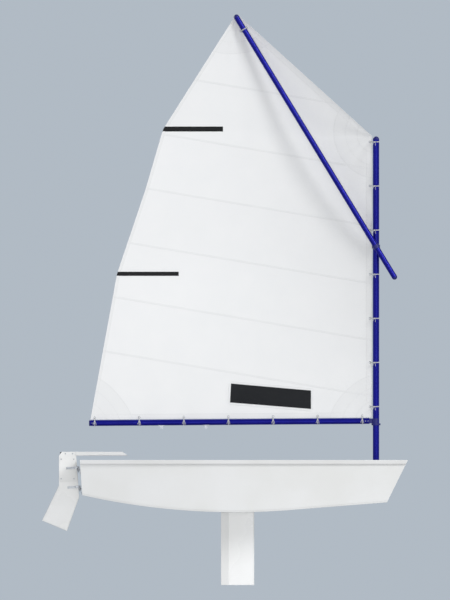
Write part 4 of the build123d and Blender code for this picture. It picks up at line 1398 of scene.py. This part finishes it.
def bagStraps(name):
    centre, along, stations = bagFrame(name)
    tree = rayTree(nodes["bag_straps_" + name])
    shapes = []
    for station in stations:
        middle = centre + along * station
        path = smoothPath(strapPath(tree, middle, along), 3)
        buckle(path, along)
        path = anchorEnd(path[0], middle, along)[::-1] + path + anchorEnd(path[-1], middle, along)
        path = smoothPath(spacedPath(path, bagStrap["spacing"]), 1)
        shapes.append(ribbon(path, along, bagStrap["width"], bagStrap["thickness"]))
    straps = addPiece("webbing_" + name, joinShapes(shapes), "webbing", "hull", "navy_webbing")
    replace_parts(straps, "bag_straps_" + name)


for name in bags:
    bag = inflateBag(name)
    ringSeams(name, bag)
    valve(name, bag)
    bagStraps(name)
    print("air bag", name, len(bag.data.polygons), "faces")


# Rudder's axis, parallel to the raked stern transom

stern = {"rake": math.radians(4.1), "axis": Vector((-1.163964, 0, 0.314999))}


def helmPoint(forward, across, rise):
    # from the axis at the sheer: square to the transom, to port, and up the axis
    c, s = math.cos(stern["rake"]), math.sin(stern["rake"])
    return stern["axis"] + Vector((forward * c - rise * s, across, forward * s + rise * c))


# Toe straps, sagging between the frame and the transom

toeStrap = {
    "width": 0.042,
    "thickness": 0.0036,
    "sides": (-0.095, 0.095),
    "steps": 40,
    "endsIn": 0.0015,
    "topIn": 0.002,
    "turnDown": (0.004, 0.012, 0.022, 0.034),
    "turnLift": 0.0012,
    "plate": (0.054, 0.016, 0.0018),
    "plateLift": 0.0018,
    "plateDown": 0.022,
    "screws": 0.019,
    "boxStitch": {"rows": (5, 7, -8, -6), "length": 7, "width": 0.85, "count": 12, "lift": 0.0019},
}


def turnDown(end, facing):
    # brings a strap's end down the face that it is screwed to
    downward = toPort.cross(facing)
    if downward.z > 0:
        downward = -downward
    start = end + facing * toeStrap["turnLift"]
    foot = start + downward * toeStrap["plateDown"] + facing * toeStrap["plateLift"]
    screwedPlate(foot, facing, toPort, toeStrap["plate"], toeStrap["screws"])
    return [start + downward * down for down in toeStrap["turnDown"]]


def toeStraps():
    tree = rayTree(nodes["toe_straps"])
    low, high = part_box("toe_straps")
    sewing = toeStrap["boxStitch"]
    wide = toeStrap["width"] * sewing["width"]
    reach = high.x - low.x - 2 * toeStrap["endsIn"]
    shapes, stitchLines = [], []
    for y in toeStrap["sides"]:
        path = []
        for i in range(toeStrap["steps"] + 1):
            x = low.x + toeStrap["endsIn"] + reach * i / toeStrap["steps"]
            top = tree.ray_cast(Vector((x, y, high.z + 0.1)), -up)[0]
            path.append(Vector((x, y, top.z - toeStrap["topIn"])))
        transom = Vector((1, 0, math.tan(stern["rake"]))).normalized()
        whole = turnDown(path[0], transom)[::-1] + path + turnDown(path[-1], Vector((-1, 0, 0)))
        shapes.append(ribbon(whole, toPort, toeStrap["width"], toeStrap["thickness"]))
        for i in sewing["rows"]:
            offs = [(j / (sewing["count"] - 1) - 0.5) * wide for j in range(sewing["count"])]
            stitchLines.append([(path[i] + Vector((0, off, sewing["lift"])), up) for off in offs])
        for side in (-0.45, 0.45):
            for ends in (path[2:][:sewing["length"]], path[:-2][-sewing["length"]:]):
                off = Vector((0, side * wide, sewing["lift"]))
                stitchLines.append([(point + off, up) for point in ends])
    straps = addPiece("toe_strap_webbing", joinShapes(shapes), "webbing", "hull", "navy_webbing")
    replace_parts(straps, "toe_straps")
    stitch("toe_strap_stitches", stitchLines, "hull", "thread", "navy_webbing", 0.006, 0.4)


toeStraps()
addPiece("strap_plates", joinShapes(plateShapes), "steel", "hull", "steel")
addPiece("strap_buckles", joinShapes(buckleShapes), "fitting", "hull", "navy_fitting")
print("straps fitted:", len(plateShapes), "plates")


# Screws, rivets and bolts, one mesh for each group of them

fittings = {
    "thwart": {"x": (-0.055, 0, 0.055), "y": 0.345, "z": 0.284},  # x from the mast
    "step": {"x": (-0.043, 0.043), "y": 0.053, "z": 0.037},  # x from the mast
    "caseRim": {"x": [-0.155 + 0.049 * i for i in range(6)], "y": 0.0295, "z": 0.240},
    "floorEye": {"place": (-0.250, 0, -0.0321), "off": 0.0165},
    "bearing": {"radius": 0.0293, "z": 0.288},
    "gudgeons": {"drops": (0.060, 0.195), "forward": 0.011, "y": 0.0215, "down": (0.010, 0.034)},
    "pintles": {"faces": (0.0175, 0.0095), "back": (0.030, 0.055, 0.077), "up": 0.0085},
    "cheeks": {
        "y": 0.015,
        "at": (
            (-1.200, 0.360), (-1.250, 0.360), (-1.192, 0.322), (-1.280, 0.322), (-1.190, 0.185),
            (-1.280, 0.185),
        ),
    },
    "boom": {"length": 2.011, "fore": (0.056, 0.074), "aft": (0.022, 0.034), "y": 0.0209},
    "boomEyes": {"off": 0.0165, "down": 0.0239},
}


def bothWays(places):
    # the same fastener on the starboard and the port face
    return [(Vector((x, side * y, z)), (0, side, 0)) for x, y, z in places for side in (-1, 1)]


def hullScrews():
    thwart, step, rim, eye = (fittings[name] for name in ("thwart", "step", "caseRim", "floorEye"))
    spots = [(mastX + x, side * thwart["y"], thwart["z"]) for x in thwart["x"] for side in (-1, 1)]
    for side in (-1, 1):
        spots += [(mastX + x, side * step["y"], step["z"]) for x in step["x"]]
        spots += [(x, side * rim["y"], rim["z"]) for x in rim["x"]]
        spots.append(Vector(eye["place"]) + Vector((side * eye["off"], 0, 0)))
    screws = plateScrews + [(Vector(spot), up) for spot in spots]
    gudgeons = fittings["gudgeons"]
    aft = helmPoint(-1, 0, 0) - stern["axis"]
    for drop in gudgeons["drops"]:
        for side in (-1, 1):
            for down in gudgeons["down"]:
                screws.append((helmPoint(gudgeons["forward"], side * gudgeons["y"], -drop - down), aft))
    return screws


def pintleRivets():
    pintles = fittings["pintles"]
    rivets = []
    for drop, face in zip(fittings["gudgeons"]["drops"], pintles["faces"]):
        for back in pintles["back"]:
            place = helmPoint(-back, 0, pintles["up"] - drop)
            rivets.append((place.x, face, place.z))
    return bothWays(rivets)


def boomRivets():
    tube, eyes = fittings["boom"], fittings["boomEyes"]
    places = [boomAt(mastX - aft) for aft in (*tube["fore"], *(tube["length"] - off for off in tube["aft"]))]
    rivets = bothWays([(place.x, tube["y"], place.z) for place in places])
    for fore, aft in zip(footTieX[3:5], footTieX[4:6]):
        for side in (-1, 1):
            place = boomAt((fore + aft) / 2 + side * eyes["off"]) - up * eyes["down"]
            rivets.append((place, -up))
    return rivets


def bearingScrews():
    radius, z = fittings["bearing"]["radius"], fittings["bearing"]["z"]
    turns = [turn + math.pi / 4 for turn in turnsRound(4)]
    return [(Vector((mastX + radius * math.cos(t), radius * math.sin(t), z)), up) for t in turns]


fasten("hull_screws", hullScrews(), "hull")
fasten("bearing_screws", bearingScrews(), "hull", size=0.0026)
fasten("pintle_rivets", pintleRivets(), "rudder", "rivet_head", 0.0042)
cheeks = fittings["cheeks"]
fasten("cheek_bolts", bothWays([(x, cheeks["y"], z) for x, z in cheeks["at"]]), "rudder", size=0.0046)
fasten("boom_rivets", boomRivets(), "rig", "rivet_head", 0.0036)
print("fasteners set")


# Domed ends of the mast and the sprit

def domeEnd(name, node, start, along, radius, body, socket=0):
    # quarter-round cap on a spar, with a round socket sunk in its top where one is asked for
    turns = [math.radians(i * 7.4) for i in range(1, 12)]
    profile = [(-0.0004, radius * 0.985), (0.0004, radius)]
    profile += [(radius * math.sin(turn), radius * math.cos(turn)) for turn in turns]
    if socket:
        profile = [point for point in profile if point[1] > socket * 1.4]
        profile += [(radius * 0.992, socket * 1.25), (radius * 0.985, socket), (radius - 0.018, socket)]
    else:
        profile.append((radius * 0.9985, radius * 0.03))
    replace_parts(addPiece(name, lathe(profile, start, along, 40), "fitting", body, "navy_fitting"), node)


mastRadius = (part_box("mast_tube")[1].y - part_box("mast_tube")[0].y) / 2
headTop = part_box("mast_head")[1].z
domeEnd("mast_cap", "mast_head", (mastX, 0, headTop - mastRadius), up, mastRadius, "mast", 0.003)
sprit = {"peak": (-0.0515, -0.024, 3.419), "foot": (1.0555, -0.04835, 1.598), "radius": 0.019}
spritAxis = (Vector(sprit["peak"]) - Vector(sprit["foot"])).normalized()
for end, way in (("peak", spritAxis), ("foot", -spritAxis)):
    domeEnd(f"sprit_{end}_cap", f"sprit_{end}_end", sprit[end], way, sprit["radius"], "rig")
print("domes fitted")


# Grip with turned ridges

# each ridge is (share of its pitch, share of the radius)
grip = {"ridges": 18, "plain": 0.014, "ridge": ((0.15, 1), (0.3, 0.9), (0.7, 0.9), (0.85, 1))}


def ridgedGrip():
    low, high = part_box("extension_grip")
    radius = (high.z - low.z) / 2
    length, plain = high.x - low.x, grip["plain"]
    profile = [(0, radius * 0.55), (0.001, radius * 0.8), (0.004, radius * 0.97), (plain, radius)]
    pitch = (length - plain * 2) / grip["ridges"]
    for i in range(grip["ridges"]):
        profile += [(plain + pitch * (i + share), radius * size) for share, size in grip["ridge"]]
    profile += [(length - plain, radius), (length - 0.003, radius * 0.97), (length, radius * 0.8)]
    shape = lathe(profile, (low.x, (low.y + high.y) / 2, (low.z + high.z) / 2), (1, 0, 0), 36)
    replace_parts(addPiece("ridged_grip", shape, "rubber", "tiller_extension", "black_grip"), "extension_grip")


ridgedGrip()


# Light, floor and camera

studio = {
    "viewWide": 600 * 0.007006,  # the photograph's 600 rows at 7.006 mm each
    "centreX": -0.132,
    "centreZ": 1.437,
    "backdrop": (0.44, 0.495, 0.555),
    "floor": (0.50, 0.545, 0.59),
    "worldLight": (0.97, 0.985, 1.0),
    "worldStrength": 0.54,
    "floorReach": 30,
    "waterline": {"aft": -0.71, "fore": 0.59, "height": 0.002, "steps": 40, "widest": 0.42, "skin": 0.0045},
    # name, place, where it aims, size, power
    "lamps": (
        ("fill", (-5.0, -4.5, 2.0), (0, 0, 1.0), 4.0, 30),
        ("back", (-2.5, 6.0, 4.2), (0, 0, 1.2), 3.4, 150),
    ),
    # name, way it shines, spread, strength; the same at any distance, so no pose of the sail clips
    "suns": (
        ("key", (-0.66, 0.62, -0.43), math.radians(18), 1.2),
        ("low", (-0.08, 1.0, 0.12), math.radians(24), 0.6),
    ),
}


def makeWorld():
    world = bpy.data.worlds.new("studio")
    world.use_nodes = True
    world.node_tree.nodes.clear()
    scene.world = world
    kit = NodeKit(world.node_tree)
    sockets = {"Color": studio["worldLight"], "Strength": studio["worldStrength"]}
    lit = kit.node("ShaderNodeBackground", None, sockets)
    shown = kit.node("ShaderNodeBackground", None, {"Color": studio["backdrop"]})
    seen = 0
    for ray in ("Is Camera Ray", "Is Glossy Ray", "Is Transmission Ray"):
        sockets = {0: kit.node("ShaderNodeLightPath", output=ray), 1: seen}
        seen = kit.node("ShaderNodeMath", {"operation": "ADD", "use_clamp": True}, sockets)
    mixed = kit.node("ShaderNodeMixShader", None, {0: seen, 1: lit, 2: shown})
    kit.node("ShaderNodeOutputWorld", None, {"Surface": mixed})


def makeLamp(kind, name, way, power):
    light = bpy.data.lights.new(name, kind)
    light.energy = power
    lamp = newObject(name, light)
    lamp.rotation_euler = Vector(way).to_track_quat("-Z", "Y").to_euler()
    return lamp


def makeLamps():
    for name, place, aim, size, power in studio["lamps"]:
        lamp = makeLamp("AREA", name, Vector(aim) - Vector(place), power)
        lamp.location = place
        lamp.data.size = size
    for name, way, spread, strength in studio["suns"]:
        makeLamp("SUN", name, way, strength).data.angle = spread


def hullWaterline():
    # outline halfway through the topsides where the hull meets the water, found on the CAD hull
    line = studio["waterline"]
    tree = rayTree(nodes["hull_side_port"])
    side = []
    for i in range(line["steps"] + 1):
        x = line["aft"] + (line["fore"] - line["aft"]) * i / line["steps"]
        hit = tree.ray_cast(Vector((x, 0, line["height"])), toPort)[0]
        side.append((x, (hit.y if hit else line["widest"]) + line["skin"]))
    return side + [(x, -y) for x, y in reversed(side)]


def makeFloor():
    shape = bmesh.new()
    reach = studio["floorReach"]
    edges = []
    for ring in (((-reach, -reach), (reach, -reach), (reach, reach), (-reach, reach)), hullWaterline()):
        points = [shape.verts.new((x, y, 0)) for x, y in ring]
        edges += [shape.edges.new(ends) for ends in zip(points, points[1:] + points[:1])]
    bmesh.ops.triangle_fill(shape, use_beauty=True, use_dissolve=False, edges=edges)
    for face in shape.faces:
        if face.normal.z < 0:
            face.normal_flip()
    mesh = bpy.data.meshes.new("floor")
    shape.to_mesh(mesh)
    shape.free()
    paint = Paint("floor_pale", Roughness=0.8)
    paler = tuple(c * 1.03 for c in studio["floor"])
    tone = paint.mix(paint.noise(paint.place(), 0.6, 3.0), studio["floor"], paler)
    clear = paint.node("ShaderNodeBsdfTransparent")
    under = paint.node("ShaderNodeNewGeometry", output="Backfacing")
    sockets = {0: under, 1: Wire(paint, paint.shader.outputs[0]), 2: clear}
    both = paint.node("ShaderNodeMixShader", None, sockets)
    paint.feed(paint.output.inputs["Surface"], both)
    mesh.materials.append(paint.finish(tone))
    floor = newObject("floor", mesh)
    floor.visible_shadow = False
    floor.visible_diffuse = False
    floor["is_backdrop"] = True


def makeCamera():
    lens = bpy.data.cameras.new("camera")
    lens.type = "ORTHO"
    lens.ortho_scale = studio["viewWide"]
    camera = newObject("camera", lens)
    camera.location = (studio["centreX"], -12, studio["centreZ"])
    camera.rotation_euler = (math.pi / 2, 0, 0)
    scene.camera = camera


makeWorld()
makeLamps()
makeFloor()
makeCamera()
print("studio ready")

for helper in helpers.values():
    bpy.data.objects.remove(helper)
low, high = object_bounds()
